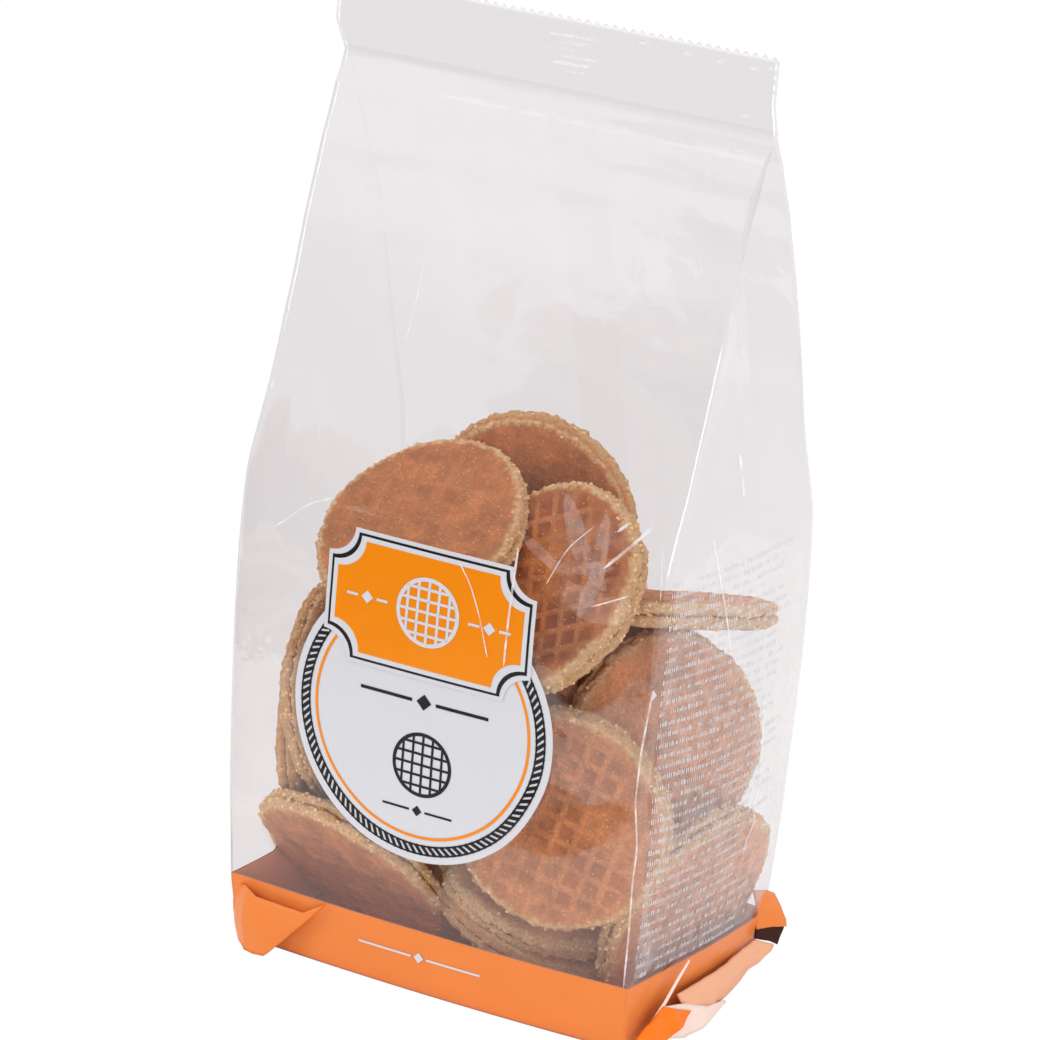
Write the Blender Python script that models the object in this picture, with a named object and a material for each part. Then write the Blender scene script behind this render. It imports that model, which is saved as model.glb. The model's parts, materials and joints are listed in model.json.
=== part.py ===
"""Sealed clear-film bag with a folded flat base and a crimped, saw-cut top seal.

Small round wafers are sold in such a bag. It is one piece of film, shut all round, so it is one
closed solid of its true outer form. Sizes are in millimetres at the top and metres in Blender.
The origin is the middle of the flat underside, +Z is up, and the front panel faces -Y.
"""

import math
from collections import namedtuple

import bmesh
import bpy
from mathutils import Vector

MM = 0.001

# The top seal: two films crimped flat, a little off the middle and wider on its left
SEAL_FOOT = 193.5
SEAL_CROWN = 209.6
SEAL_LEFT = -55.0
SEAL_RIGHT = 48.6
SEAL_NECK_LEFT = -52.4
SEAL_NECK_RIGHT = 49.8
SEAL_THICKNESS = 1.2
SEAL_FLARE_HEIGHT = 6.0
SEAL_GRIP_DEPTH = 5.0
SEAL_GRIP_INSET = 1.5
TOOTH_PITCH = 2.4
TOOTH_DEPTH = 1.1

# The body's section at each height. The front panel is skewed to the left and the back panel to
# the right. Front, back and side are how far the middle of each panel stands out; a side that
# stands in is a folded gusset.
Section = namedtuple("Section", "height half_width half_depth skew front back side")
STATIONS = (
    Section(0.0, 46.2, 26.8, 0.0, 1.6, 0.0, 0.0),
    Section(1.2, 47.6, 28.2, 0.1, 1.7, 0.0, 0.0),
    Section(4.0, 48.2, 28.6, 0.5, 1.8, 0.2, 0.2),
    Section(14.0, 49.0, 28.8, 1.4, 1.8, 0.8, 0.8),
    Section(40.0, 49.9, 29.2, 2.2, 2.0, 3.6, 3.0),
    Section(80.0, 50.6, 29.4, 2.6, 2.4, 4.2, 3.6),
    Section(106.0, 50.7, 28.6, 2.2, 1.8, 3.6, 2.8),
    Section(124.0, 50.6, 24.8, 0.7, 1.2, 2.6, 1.2),
    Section(142.0, 50.6, 20.4, 0.1, 0.7, 1.4, -1.8),
    Section(160.0, 50.7, 15.0, 0.0, 0.4, 0.8, -4.6),
    Section(176.0, 50.9, 8.8, 0.0, 0.2, 0.4, -5.4),
    Section(187.0, 51.0, 3.8, 0.0, 0.1, 0.1, -2.4),
    Section(SEAL_FOOT, 51.0, 0.5, 0.0, 0.0, 0.0, 0.0),
)
LEAN_START = 150.0
RINGS_PER_STATION = 3
FACE_STEPS = 16
SIDE_STEPS = 10

# Corners of the folds that stand out at the base, each the outline of one packed lump of film
FRONT_EAR = (
    (-46.0, -26.0, 0.0),
    (-34.0, -26.0, 0.0),
    (-46.6, -30.6, 0.0),
    (-45.0, -32.0, 0.0),
    (-39.0, -32.4, 0.0),
    (-36.5, -31.4, 0.0),
    (-51.4, -27.0, 12.8),
    (-50.8, -29.4, 12.6),
    (-45.0, -31.6, 13.2),
    (-31.0, -31.2, 12.0),
    (-30.0, -27.0, 12.0),
)
SIDE_SKIRT = (
    (44.0, -26.0, 0.0),
    (44.0, 26.0, 0.0),
    (49.6, -22.0, 0.0),
    (52.4, -12.0, 0.0),
    (53.0, 2.0, 0.0),
    (51.0, 27.0, 0.0),
    (46.0, 29.0, 0.0),
    (46.0, -24.0, 7.2),
    (46.0, 27.0, 8.0),
    (51.0, 4.0, 6.2),
    (51.6, 27.0, 7.0),
)
SIDE_LOBE = (
    (46.0, 24.0, 4.0),
    (46.0, 29.0, 4.0),
    (53.0, 24.0, 5.0),
    (54.4, 30.0, 6.4),
    (54.6, 32.4, 9.6),
    (53.4, 31.0, 15.0),
    (51.6, 27.8, 20.2),
    (48.4, 25.0, 20.6),
    (47.0, 23.0, 18.0),
)
WELD_DISTANCE = 0.01
SHARP_ANGLE_DEG = 24


def clear_scene():
    for old in list(bpy.data.objects):
        bpy.data.objects.remove(old)


def new_collection(name):
    collection = bpy.data.collections.new(name)
    bpy.context.scene.collection.children.link(collection)
    return collection


def add_object(name, mesh, collection):
    made = bpy.data.objects.new(name, mesh)
    collection.objects.link(made)
    return made


def film_material():
    """Clear glossy polypropylene film, a faint cool grey where the light passes two layers."""
    material = bpy.data.materials.new("clear_film")
    material.use_nodes = True
    shader = material.node_tree.nodes["Principled BSDF"]
    shader.inputs["Base Color"].default_value = (0.78, 0.78, 0.79, 1.0)
    shader.inputs["Roughness"].default_value = 0.12
    shader.inputs["Metallic"].default_value = 0.0
    return material


def curve_through(before, start, end, after, share):
    """A smooth value between start and end that leaves and arrives along the neighbours' slopes."""
    leave = (end - before) / 2
    arrive = (after - start) / 2
    return (
        (2 * share**3 - 3 * share**2 + 1) * start
        + (share**3 - 2 * share**2 + share) * leave
        + (3 * share**2 - 2 * share**3) * end
        + (share**3 - share**2) * arrive
    )


def sections():
    """The stations with evenly shared sections between them."""
    last = len(STATIONS) - 1
    for index in range(last):
        four = [STATIONS[max(0, min(last, index + step))] for step in (-1, 0, 1, 2)]
        for ring in range(RINGS_PER_STATION):
            share = ring / RINGS_PER_STATION
            smooth = Section(*(curve_through(*column, share) for column in zip(*four)))
            height = four[1].height + (four[2].height - four[1].height) * share
            yield smooth._replace(height=height)
    yield STATIONS[last]


def lean(height):
    """How far the bag's middle has moved sideways on its way up to the off-centre seal."""
    share = max(0.0, (height - LEAN_START) / (SEAL_FOOT - LEAN_START))
    return share * (SEAL_NECK_LEFT + SEAL_NECK_RIGHT) / 2


def side_offset(stand, across):
    """How far the side is out at a place across it: a round bow, or a sharp inward fold."""
    if stand >= 0:
        return stand * (1 - across * across)
    return stand * (1 - abs(across))


def steps_across(count):
    """Even places across a panel, from -1 at its first fold to just short of its last fold at 1."""
    return [2 * step / count - 1 for step in range(count)]


def ring_points(section):
    """The corners of one closed section, anticlockwise from above, from the front left fold."""
    width = section.half_width
    depth = section.half_depth
    skew = section.skew
    points = []
    for across in steps_across(FACE_STEPS):
        points.append((across * width - skew, -depth - section.front * (1 - across**2)))
    for across in steps_across(SIDE_STEPS):
        out = width + side_offset(section.side, across)
        points.append((out + skew * across, across * depth))
    for across in steps_across(FACE_STEPS):
        points.append((skew - across * width, depth + section.back * (1 - across**2)))
    for across in steps_across(SIDE_STEPS):
        out = width + side_offset(section.side, across)
        points.append((-out - skew * across, -across * depth))
    middle = lean(section.height)
    return [Vector((x + middle, y, section.height)) * MM for x, y in points]


def bag_body():
    """The filled bag from its flat base to the foot of the top seal, lofted through its sections."""
    shape = bmesh.new()
    rings = [[shape.verts.new(p) for p in ring_points(s)] for s in sections()]
    for lower, upper in zip(rings, rings[1:]):
        count = len(lower)
        for here in range(count):
            beside = (here + 1) % count
            shape.faces.new((lower[here], lower[beside], upper[beside], upper[here]))
    shape.faces.new(list(reversed(rings[0])))
    shape.faces.new(rings[-1])
    mesh = bpy.data.meshes.new("bag")
    shape.to_mesh(mesh)
    shape.free()
    return mesh


def seal_outline():
    """The top seal seen from the front: a strip whose upper edge is cut in saw teeth."""
    grip = SEAL_FOOT - SEAL_GRIP_DEPTH
    flare = SEAL_FOOT + SEAL_FLARE_HEIGHT
    notch = SEAL_CROWN - TOOTH_DEPTH
    teeth = round((SEAL_RIGHT - SEAL_LEFT) / TOOTH_PITCH)
    pitch = (SEAL_RIGHT - SEAL_LEFT) / teeth
    points = [(SEAL_RIGHT, notch)]
    for tooth in range(teeth):
        left = SEAL_RIGHT - pitch * (tooth + 1)
        points += [(left + pitch / 2, SEAL_CROWN), (left, notch)]
    points += [
        (SEAL_LEFT, flare),
        (SEAL_NECK_LEFT, SEAL_FOOT),
        (SEAL_NECK_LEFT + SEAL_GRIP_INSET, grip),
        (SEAL_NECK_RIGHT - SEAL_GRIP_INSET, grip),
        (SEAL_NECK_RIGHT, SEAL_FOOT),
        (SEAL_RIGHT, flare),
    ]
    return points


def top_seal(collection):
    """The flat outline as a curve, thickened, stood upright and made a mesh."""
    outline = bpy.data.curves.new("seal", "CURVE")
    outline.dimensions = "2D"
    outline.fill_mode = "BOTH"
    outline.extrude = SEAL_THICKNESS / 2 * MM
    spline = outline.splines.new("POLY")
    points = seal_outline()
    spline.points.add(len(points) - 1)
    for corner, (x, z) in zip(spline.points, points):
        corner.co = (x * MM, z * MM, 0.0, 1.0)
    spline.use_cyclic_u = True
    guide = add_object("seal_outline", outline, collection)
    guide.rotation_euler = (math.radians(90), 0.0, 0.0)
    bpy.context.view_layer.update()
    shown = guide.evaluated_get(bpy.context.evaluated_depsgraph_get())
    mesh = bpy.data.meshes.new_from_object(shown)
    mesh.transform(guide.matrix_world)
    weld(mesh)
    bpy.data.objects.remove(guide)
    return add_object("seal", mesh, collection)


def weld(mesh):
    """Closes the curve's loose caps and turns every face outwards."""
    shape = bmesh.new()
    shape.from_mesh(mesh)
    bmesh.ops.remove_doubles(shape, verts=shape.verts, dist=WELD_DISTANCE * MM)
    bmesh.ops.recalc_face_normals(shape, faces=shape.faces)
    shape.to_mesh(mesh)
    shape.free()


def folded_lump(name, corners, collection):
    """A fold of film packed flat on itself: the tight skin round its corner points."""
    shape = bmesh.new()
    for corner in corners:
        shape.verts.new(Vector(corner) * MM)
    skin = bmesh.ops.convex_hull(shape, input=shape.verts)
    bmesh.ops.delete(shape, geom=skin["geom_interior"], context="VERTS")
    bmesh.ops.recalc_face_normals(shape, faces=shape.faces)
    mesh = bpy.data.meshes.new(name)
    shape.to_mesh(mesh)
    shape.free()
    return add_object(name, mesh, collection)


def join_onto(body, pieces):
    """Unites the body with every object of a collection, then removes those objects."""
    union = body.modifiers.new("join", "BOOLEAN")
    union.operation = "UNION"
    union.operand_type = "COLLECTION"
    union.collection = pieces
    union.solver = "EXACT"
    bpy.context.view_layer.update()
    joined = body.evaluated_get(bpy.context.evaluated_depsgraph_get())
    mesh = bpy.data.meshes.new_from_object(joined)
    body.modifiers.clear()
    body.data = mesh
    for piece in list(pieces.objects):
        bpy.data.objects.remove(piece)
    bpy.data.collections.remove(pieces)


def finish_surface(body):
    body.data.materials.clear()
    body.data.materials.append(film_material())
    body.data.shade_smooth()
    body.data.set_sharp_from_angle(angle=math.radians(SHARP_ANGLE_DEG))


def main():
    clear_scene()
    parts = new_collection("wafer_bag")
    folds = new_collection("folds")
    body = add_object("bag", bag_body(), parts)
    top_seal(folds)
    folded_lump("front_ear", FRONT_EAR, folds)
    folded_lump("side_skirt", SIDE_SKIRT, folds)
    folded_lump("side_lobe", SIDE_LOBE, folds)
    join_onto(body, folds)
    finish_surface(body)


main()
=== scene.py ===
"""Looks of a clear film bag of small round syrup wafers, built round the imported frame.

Sizes below are in millimetres and become metres when a mesh is made. The origin is the middle of
the flat underside, +Z is up, and the bag's front panel faces -Y.
"""

import json
import math
import random
from collections import namedtuple

import bmesh
import bpy
import numpy as np
from bpy.props import FloatProperty, FloatVectorProperty, IntProperty, PointerProperty
from mathutils import Matrix, Vector, noise
from mathutils.bvhtree import BVHTree
from mathutils.geometry import delaunay_2d_cdt

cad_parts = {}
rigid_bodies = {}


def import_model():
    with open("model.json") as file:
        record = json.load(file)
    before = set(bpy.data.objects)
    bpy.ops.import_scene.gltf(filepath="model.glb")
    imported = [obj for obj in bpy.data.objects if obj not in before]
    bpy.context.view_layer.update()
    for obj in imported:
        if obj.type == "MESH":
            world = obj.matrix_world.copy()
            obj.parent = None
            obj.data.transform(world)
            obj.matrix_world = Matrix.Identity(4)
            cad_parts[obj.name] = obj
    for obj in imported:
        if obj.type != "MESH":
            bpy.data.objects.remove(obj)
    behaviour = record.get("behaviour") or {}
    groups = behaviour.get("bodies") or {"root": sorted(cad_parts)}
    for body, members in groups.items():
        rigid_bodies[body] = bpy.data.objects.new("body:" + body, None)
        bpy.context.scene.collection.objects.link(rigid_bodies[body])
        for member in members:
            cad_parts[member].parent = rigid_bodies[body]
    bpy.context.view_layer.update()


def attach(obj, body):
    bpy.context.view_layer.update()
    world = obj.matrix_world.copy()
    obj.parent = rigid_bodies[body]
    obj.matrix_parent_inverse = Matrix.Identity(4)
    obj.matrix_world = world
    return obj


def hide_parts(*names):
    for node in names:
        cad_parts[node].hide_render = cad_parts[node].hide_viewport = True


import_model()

bl_info = {
    "name": "Wafer Bag",
    "version": (1, 0, 0),
    "blender": (4, 5, 0),
    "location": "View3D > Sidebar > Wafer Bag",
    "description": "Builds a clear film bag of round syrup wafers with a printed front",
    "category": "Object",
}

MM = 0.001
PER_SQUARE_METRE = 1e4  # from a number for each square centimetre
BODY = "root"
NODE = "bag"

# The bag's sections, as in the CAD: half width, half depth, skew of the front panel, and how far
# the middle of the front, back and side panels stands out. A negative side is a folded gusset.
Section = namedtuple("Section", "height half_width half_depth skew front back side")
STATIONS = (
    Section(0.0, 46.2, 26.8, 0.0, 1.6, 0.0, 0.0),
    Section(1.2, 47.6, 28.2, 0.1, 1.7, 0.0, 0.0),
    Section(4.0, 48.2, 28.6, 0.5, 1.8, 0.2, 0.2),
    Section(14.0, 49.0, 28.8, 1.4, 1.8, 0.8, 0.8),
    Section(40.0, 49.9, 29.2, 2.2, 2.0, 3.6, 3.0),
    Section(80.0, 50.6, 29.4, 2.6, 2.4, 4.2, 3.6),
    Section(106.0, 50.7, 28.6, 2.2, 1.8, 3.6, 2.8),
    Section(124.0, 50.6, 24.8, 0.7, 1.2, 2.6, 1.2),
    Section(142.0, 50.6, 20.4, 0.1, 0.7, 1.4, -1.8),
    Section(160.0, 50.7, 15.0, 0.0, 0.4, 0.8, -4.6),
    Section(176.0, 50.9, 8.8, 0.0, 0.2, 0.4, -5.4),
    Section(187.0, 51.0, 3.8, 0.0, 0.1, 0.1, -2.4),
    Section(193.5, 51.0, 0.5, 0.0, 0.0, 0.0, 0.0),
)
SEAL_FOOT = 193.5
SEAL_CROWN = 209.6
SEAL_LEFT, SEAL_RIGHT = -55.0, 48.6
NECK_LEFT, NECK_RIGHT = -52.4, 49.8
SEAL_FLARE = 6.0
SEAL_HALF = 0.42
LEAN_START = 150.0
BAND_TOP = 15.0

# How finely the film is meshed: columns across a wide panel and a side, and millimetres a row
FACE_COLUMNS = 96
SIDE_COLUMNS = 52
ROW_STEP = 1.3
SEAL_ROW_STEP = 0.8


def clamp(value, low=0.0, high=1.0):
    return max(low, min(high, value))


def smooth_share(value):
    share = np.clip(value, 0.0, 1.0)
    return share * share * (3 - 2 * share)


def linear(code):
    """The linear colour of an sRGB hex code, with full alpha."""
    channels = [int(code[place : place + 2], 16) / 255 for place in (1, 3, 5)]
    return tuple(
        [c / 12.92 if c <= 0.04045 else ((c + 0.055) / 1.055) ** 2.4 for c in channels]
        + [1.0]
    )


def length_setting(name, description, millimetres):
    return FloatProperty(
        name=name, description=description, default=millimetres * MM, unit="LENGTH"
    )


def colour_setting(name, description, code):
    return FloatVectorProperty(
        name=name, description=description, subtype="COLOR", size=4, default=linear(code)
    )


# The bag's form


def curve_through(before, start, end, after, share):
    """A smooth value between start and end that follows the neighbours' slopes."""
    leave = (end - before) / 2
    arrive = (after - start) / 2
    return (
        (2 * share**3 - 3 * share**2 + 1) * start
        + (share**3 - 2 * share**2 + share) * leave
        + (3 * share**2 - 2 * share**3) * end
        + (share**3 - share**2) * arrive
    )


def section_at(height):
    """The bag's section at any height up to the foot of the top seal."""
    last = len(STATIONS) - 1
    height = clamp(height, 0.0, SEAL_FOOT)
    index = max(i for i in range(last) if STATIONS[i].height <= height)
    four = [STATIONS[clamp(index + step, 0, last)] for step in (-1, 0, 1, 2)]
    share = (height - four[1].height) / (four[2].height - four[1].height)
    smooth = Section(*(curve_through(*column, share) for column in zip(*four)))
    return smooth._replace(height=height)


SECTION_TABLE = np.array([section_at(height) for height in range(math.ceil(SEAL_FOOT) + 1)])


def lean(height):
    """How far the bag's middle has moved sideways on its way up to the off-centre seal."""
    share = clamp((height - LEAN_START) / (SEAL_FOOT - LEAN_START))
    return share * (NECK_LEFT + NECK_RIGHT) / 2


def film_columns():
    """Panel number and place across it for each column, anticlockwise from the front left."""
    panel, across = [], []
    for number, count in enumerate((FACE_COLUMNS, SIDE_COLUMNS) * 2):
        panel += [number] * count
        across += [2 * step / count - 1 for step in range(count)]
    return np.array(panel), np.array(across)


def film_ring(height, panel, across):
    """Points and outward directions of one closed ring of film."""
    if height <= SEAL_FOOT:
        s = section_at(height)
        middle, width, depth = lean(height), s.half_width, s.half_depth
        skew, front, back, side = s.skew, s.front, s.back, s.side
    else:
        share = clamp((height - SEAL_FOOT) / SEAL_FLARE)
        left = NECK_LEFT + (SEAL_LEFT - NECK_LEFT) * share
        right = NECK_RIGHT + (SEAL_RIGHT - NECK_RIGHT) * share
        middle, width, depth = (left + right) / 2, (right - left) / 2, SEAL_HALF
        skew, front, back, side = 0.0, 0.0, 0.0, 0.0
    bow = 1 - across**2
    out = width + side * (bow if side >= 0 else 1 - np.abs(across))
    which = [panel == 0, panel == 1, panel == 2]
    x = np.select(
        which,
        [across * width - skew, out + skew * across, skew - across * width],
        -out - skew * across,
    )
    y = np.select(
        which,
        [-depth - front * bow, across * depth, depth + back * bow],
        -across * depth,
    )
    ring = np.stack([x + middle, y, np.full_like(x, height)], 1)
    along = np.roll(ring, -1, 0) - np.roll(ring, 1, 0)
    outward = np.stack([along[:, 1], -along[:, 0], np.zeros(len(ring))], 1)
    return ring, outward / np.maximum(np.linalg.norm(outward, axis=1, keepdims=True), 1e-6)


def wall_moves(spots, clearance):
    """How far and which way each spot has to move to be inside the film again."""
    x, y, z = spots[..., 0], spots[..., 1], spots[..., 2]
    row = SECTION_TABLE[np.clip(np.rint(z), 0, len(SECTION_TABLE) - 1).astype(int)]
    width, depth, skew = row[..., 1], row[..., 2], row[..., 3]
    across = 1 - np.clip((x + skew) / width, -1, 1) ** 2
    share = np.clip(y / depth, -1, 1)
    bow = np.maximum(row[..., 6], 0) * (1 - share**2)
    front = -depth - row[..., 4] * across + clearance
    back = depth + row[..., 5] * across - clearance
    right = width + bow + skew * share - clearance
    left = -width - bow + skew * share + clearance
    return np.stack(
        [
            np.maximum(0, left - x) - np.maximum(0, x - right),
            np.maximum(0, front - y) - np.maximum(0, y - back),
            np.maximum(0, clearance - z),
        ],
        -1,
    )


# Meshes and objects


def add_object(name, data):
    made = bpy.data.objects.new(name, data)
    bpy.context.scene.collection.objects.link(made)
    return made


def mesh_object(name, points, faces, materials, slots=None):
    """A new object from points in millimetres. slots gives each face's material number."""
    mesh = bpy.data.meshes.new(name)
    mesh.from_pydata((np.asarray(points, float) * MM).tolist(), [], faces)
    for material in materials:
        mesh.materials.append(material)
    if slots is not None:
        mesh.polygons.foreach_set("material_index", slots)
    mesh.polygons.foreach_set("use_smooth", [True] * len(mesh.polygons))
    mesh.update()
    return add_object(name, mesh)


def add_attribute(made, name, values):
    """A number for each vertex, which the materials can read."""
    layer = made.data.attributes.new(name, "FLOAT", "POINT")
    layer.data.foreach_set("value", np.asarray(values, np.float32))


def hand_over(piece):
    """Rides the piece on the bag's one body."""
    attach(piece, BODY)
    return piece


def made_by_nodes(source, tree, values):
    """The plain mesh that a node tree makes from source, whose object is then removed."""
    modifier = source.modifiers.new("build", "NODES")
    modifier.node_group = tree
    for item in tree.interface.items_tree:
        if item.item_type == "SOCKET" and item.name in values:
            modifier[item.identifier] = values[item.name]
    bpy.context.view_layer.update()
    shown = source.evaluated_get(bpy.context.evaluated_depsgraph_get())
    mesh = bpy.data.meshes.new_from_object(shown)
    source.modifiers.clear()
    bpy.data.objects.remove(source)
    return mesh


# Node trees


def add_node(tree, kind, inputs=None, **settings):
    """A node with its settings, and its inputs set to values or joined to sockets or nodes.

    A node given for an input is joined by the first of its outputs that is in use.
    """
    made = tree.nodes.new(kind)
    for name, value in settings.items():
        setattr(made, name, value)
    for name, value in (inputs or {}).items():
        if isinstance(value, bpy.types.Node):
            value = next(output for output in value.outputs if output.enabled)
        if isinstance(value, bpy.types.NodeSocket):
            tree.links.new(value, made.inputs[name])
        else:
            made.inputs[name].default_value = value
    return made


def new_material(name):
    material = bpy.data.materials.new(name)
    material.use_nodes = True
    material.node_tree.nodes.clear()
    return material, material.node_tree


def finish_material(tree, shader):
    add_node(tree, "ShaderNodeOutputMaterial", {"Surface": shader})


def place_mm(tree, length):
    """Object coordinates on which a texture of scale 1 has features about length mm wide."""
    where = add_node(tree, "ShaderNodeTexCoord").outputs["Object"]
    return add_node(tree, "ShaderNodeMapping", {"Vector": where, "Scale": [1 / (length * MM)] * 3})


def mottle(tree, length, detail=2.0, roughness=0.5):
    """A soft random pattern with features about length mm wide."""
    look = {"Vector": place_mm(tree, length), "Scale": 1.0, "Detail": detail, "Roughness": roughness}
    return add_node(tree, "ShaderNodeTexNoise", look)


def new_tree(name, counts, measures):
    """A geometry tree with whole-number and real inputs, and the sockets that give them."""
    tree = bpy.data.node_groups.new(name, "GeometryNodeTree")
    sockets = [("Geometry", "INPUT", "NodeSocketGeometry")]
    sockets += [(socket, "INPUT", "NodeSocketInt") for socket in counts]
    sockets += [(socket, "INPUT", "NodeSocketFloat") for socket in measures]
    sockets += [("Geometry", "OUTPUT", "NodeSocketGeometry")]
    for socket, way, kind in sockets:
        tree.interface.new_socket(socket, in_out=way, socket_type=kind)
    return tree, add_node(tree, "NodeGroupInput").outputs


def finish_tree(tree, instances, material):
    """Ends a geometry tree: its instances are made real and get their material."""
    real = add_node(tree, "GeometryNodeRealizeInstances", {"Geometry": instances})
    dressed = add_node(tree, "GeometryNodeSetMaterial", {"Geometry": real, "Material": material})
    add_node(tree, "NodeGroupOutput", {"Geometry": dressed})
    return tree


def film_shader(tree, tint, shine, bump_mm, roughness, haze):
    """Thin clear film: mostly see-through, with a mirror share that grows towards grazing.

    In painted clear patches the mirror share and haze fall to a tenth, a painted reflection pattern.
    """
    ripple = {"Height": mottle(tree, 6.0, 3.0, 0.45), "Distance": bump_mm * MM, "Strength": 1.0}
    bump = add_node(tree, "ShaderNodeBump", ripple)
    facing = add_node(tree, "ShaderNodeLayerWeight", {"Blend": 0.5, "Normal": bump}).outputs["Facing"]
    steep = add_node(tree, "ShaderNodeMath", {0: facing, 1: 4.0}, operation="POWER")
    glance = {0: steep, 1: 0.7, 2: shine}
    share = add_node(tree, "ShaderNodeMath", glance, operation="MULTIPLY_ADD", use_clamp=True)
    # Painted reflection: a patch mask turns the film's mirror and haze down
    painted_clear_patch = add_node(tree, "ShaderNodeAttribute", attribute_name="painted_clear_patch").outputs["Fac"]
    loose = add_node(tree, "ShaderNodeMapRange", {0: painted_clear_patch, 1: 0.25, 2: 0.6, 3: 1.0, 4: 0.1})
    share = add_node(tree, "ShaderNodeMath", {0: share, 1: loose}, operation="MULTIPLY")
    haze = add_node(tree, "ShaderNodeMath", {0: loose, 1: haze}, operation="MULTIPLY")
    clear = add_node(tree, "ShaderNodeBsdfTransparent", {"Color": tint})
    cloud = add_node(tree, "ShaderNodeBsdfDiffuse", {"Color": (0.9, 0.9, 0.9, 1)})
    body = add_node(tree, "ShaderNodeMixShader", {0: haze, 1: clear, 2: cloud})
    mirror = {"Color": (1, 1, 1, 1), "Roughness": roughness, "Normal": bump}
    gloss = add_node(tree, "ShaderNodeBsdfAnisotropic", mirror)
    return add_node(tree, "ShaderNodeMixShader", {0: share, 1: body, 2: gloss})


def clear_film_material(name, tint):
    """Clear cast polypropylene, 40 microns thick.

    It lets most of the light through, a touch grey, and both its faces mirror the room, so that
    it looks milky where it leans back under the lamps.
    """
    material, tree = new_material(name)
    shader = film_shader(tree, linear(tint), shine=0.07, bump_mm=0.14, roughness=0.06, haze=0.02)
    finish_material(tree, shader)
    return material


def ink_material(name, colour, thin=0.06, roughness=0.26):
    """Flexographic ink printed inside the film, under the film's own gloss.

    The ink is a little thinner in soft blotches, and the film's ripples break its shine.
    """
    material, tree = new_material(name)
    darker = tuple(channel * (1 - 2 * thin) for channel in colour[:3]) + (1.0,)
    blotch = {0: mottle(tree, 11.0, 4.0, 0.6), 6: darker, 7: colour}
    ripple = {"Height": mottle(tree, 5.0), "Distance": 0.2 * MM, "Strength": 1.0}
    ink = {
        "Base Color": add_node(tree, "ShaderNodeMix", blotch, data_type="RGBA"),
        "Roughness": roughness,
        "IOR": 1.49,
        "Specular IOR Level": 0.22,
        "Normal": add_node(tree, "ShaderNodeBump", ripple),
    }
    finish_material(tree, add_node(tree, "ShaderNodeBsdfPrincipled", ink))
    return material


def wafer_material():
    """Baked waffle biscuit: a dry, crumbly crust.

    The squares pressed in between the waffle iron's ridges are coloured darker than the ridges,
    and the broken edge stays pale. Tiny pale specks are partly sugar crystals and partly
    painted glints on them.
    """
    material, tree = new_material("baked_waffle_crust")
    bake, pit, tone = (
        add_node(tree, "ShaderNodeAttribute", attribute_name=name).outputs["Fac"]
        for name in ("bake", "pit", "tone")
    )
    patch, grain = mottle(tree, 6.0, 6.0, 0.68), mottle(tree, 0.7, 4.0, 0.75)
    squares = {0: pit, 6: linear("#E38A4E"), 7: linear("#B25628")}
    crust = add_node(tree, "ShaderNodeMix", squares, data_type="RGBA")
    # Partly painted light: a high tone pales and lightens the crust of wafers lying in shade
    paler = add_node(tree, "ShaderNodeMapRange", {0: tone, 1: 1.0, 2: 2.0, 3: 0.0, 4: 0.6})
    lightly = {0: paler, 6: crust, 7: linear("#E8B690")}
    crust = add_node(tree, "ShaderNodeMix", lightly, data_type="RGBA")
    for value, low, high, dark, light in (
        (tone, 0.8, 1.6, 0.85, 1.25),
        (patch, 0.3, 0.7, 0.64, 1.18),
        (grain, 0.3, 0.7, 0.68, 1.24),
    ):
        shade = add_node(tree, "ShaderNodeMapRange", {0: value, 1: low, 2: high, 3: dark, 4: light})
        both = {0: 1.0, 6: crust, 7: shade}
        crust = add_node(tree, "ShaderNodeMix", both, data_type="RGBA", blend_type="MULTIPLY")
    wear_and_sheen = add_node(tree, "ShaderNodeMapRange", {0: grain, 1: 0.3, 2: 0.7, 3: -0.3, 4: 0.3})
    edge = add_node(tree, "ShaderNodeMath", {0: bake, 1: wear_and_sheen}, operation="ADD", use_clamp=True)
    coarse = add_node(tree, "ShaderNodeMapRange", {0: grain, 1: 0.35, 2: 0.62, 3: 0.0, 4: 1.0})
    inside = {0: coarse, 6: linear("#E6A25C"), 7: linear("#FFE8B8")}
    broken = add_node(tree, "ShaderNodeMix", inside, data_type="RGBA")
    coloured = add_node(tree, "ShaderNodeMix", {0: edge, 6: broken, 7: crust}, data_type="RGBA")
    # Partly painted highlight: sparse pale specks for sugar crystals and their glints
    cells = {"Vector": place_mm(tree, 0.9), "Scale": 1.0}
    crystals = add_node(tree, "ShaderNodeTexVoronoi", cells).outputs
    speck = {0: crystals["Distance"], 1: 0.14, 2: 0.24, 3: 0.85, 4: 0.0}
    spot = add_node(tree, "ShaderNodeMapRange", speck)
    chosen = add_node(tree, "ShaderNodeSeparateColor", {0: crystals["Color"]})
    few = add_node(tree, "ShaderNodeMapRange", {0: chosen, 1: 0.62, 2: 0.66, 3: 0.0, 4: 1.0})
    bright = add_node(tree, "ShaderNodeMath", {0: spot, 1: few}, operation="MULTIPLY")
    sugared = {0: bright, 6: coloured, 7: linear("#F3CFA2")}
    relief = add_node(tree, "ShaderNodeMath", {0: patch, 1: 1.6, 2: grain}, operation="MULTIPLY_ADD")
    crumbly = {"Height": relief, "Distance": 0.7 * MM, "Strength": 1.0}
    biscuit = {
        "Base Color": add_node(tree, "ShaderNodeMix", sugared, data_type="RGBA"),
        "Roughness": 0.72,
        "IOR": 1.45,
        "Normal": add_node(tree, "ShaderNodeBump", crumbly),
    }
    finish_material(tree, add_node(tree, "ShaderNodeBsdfPrincipled", biscuit))
    return material


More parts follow.
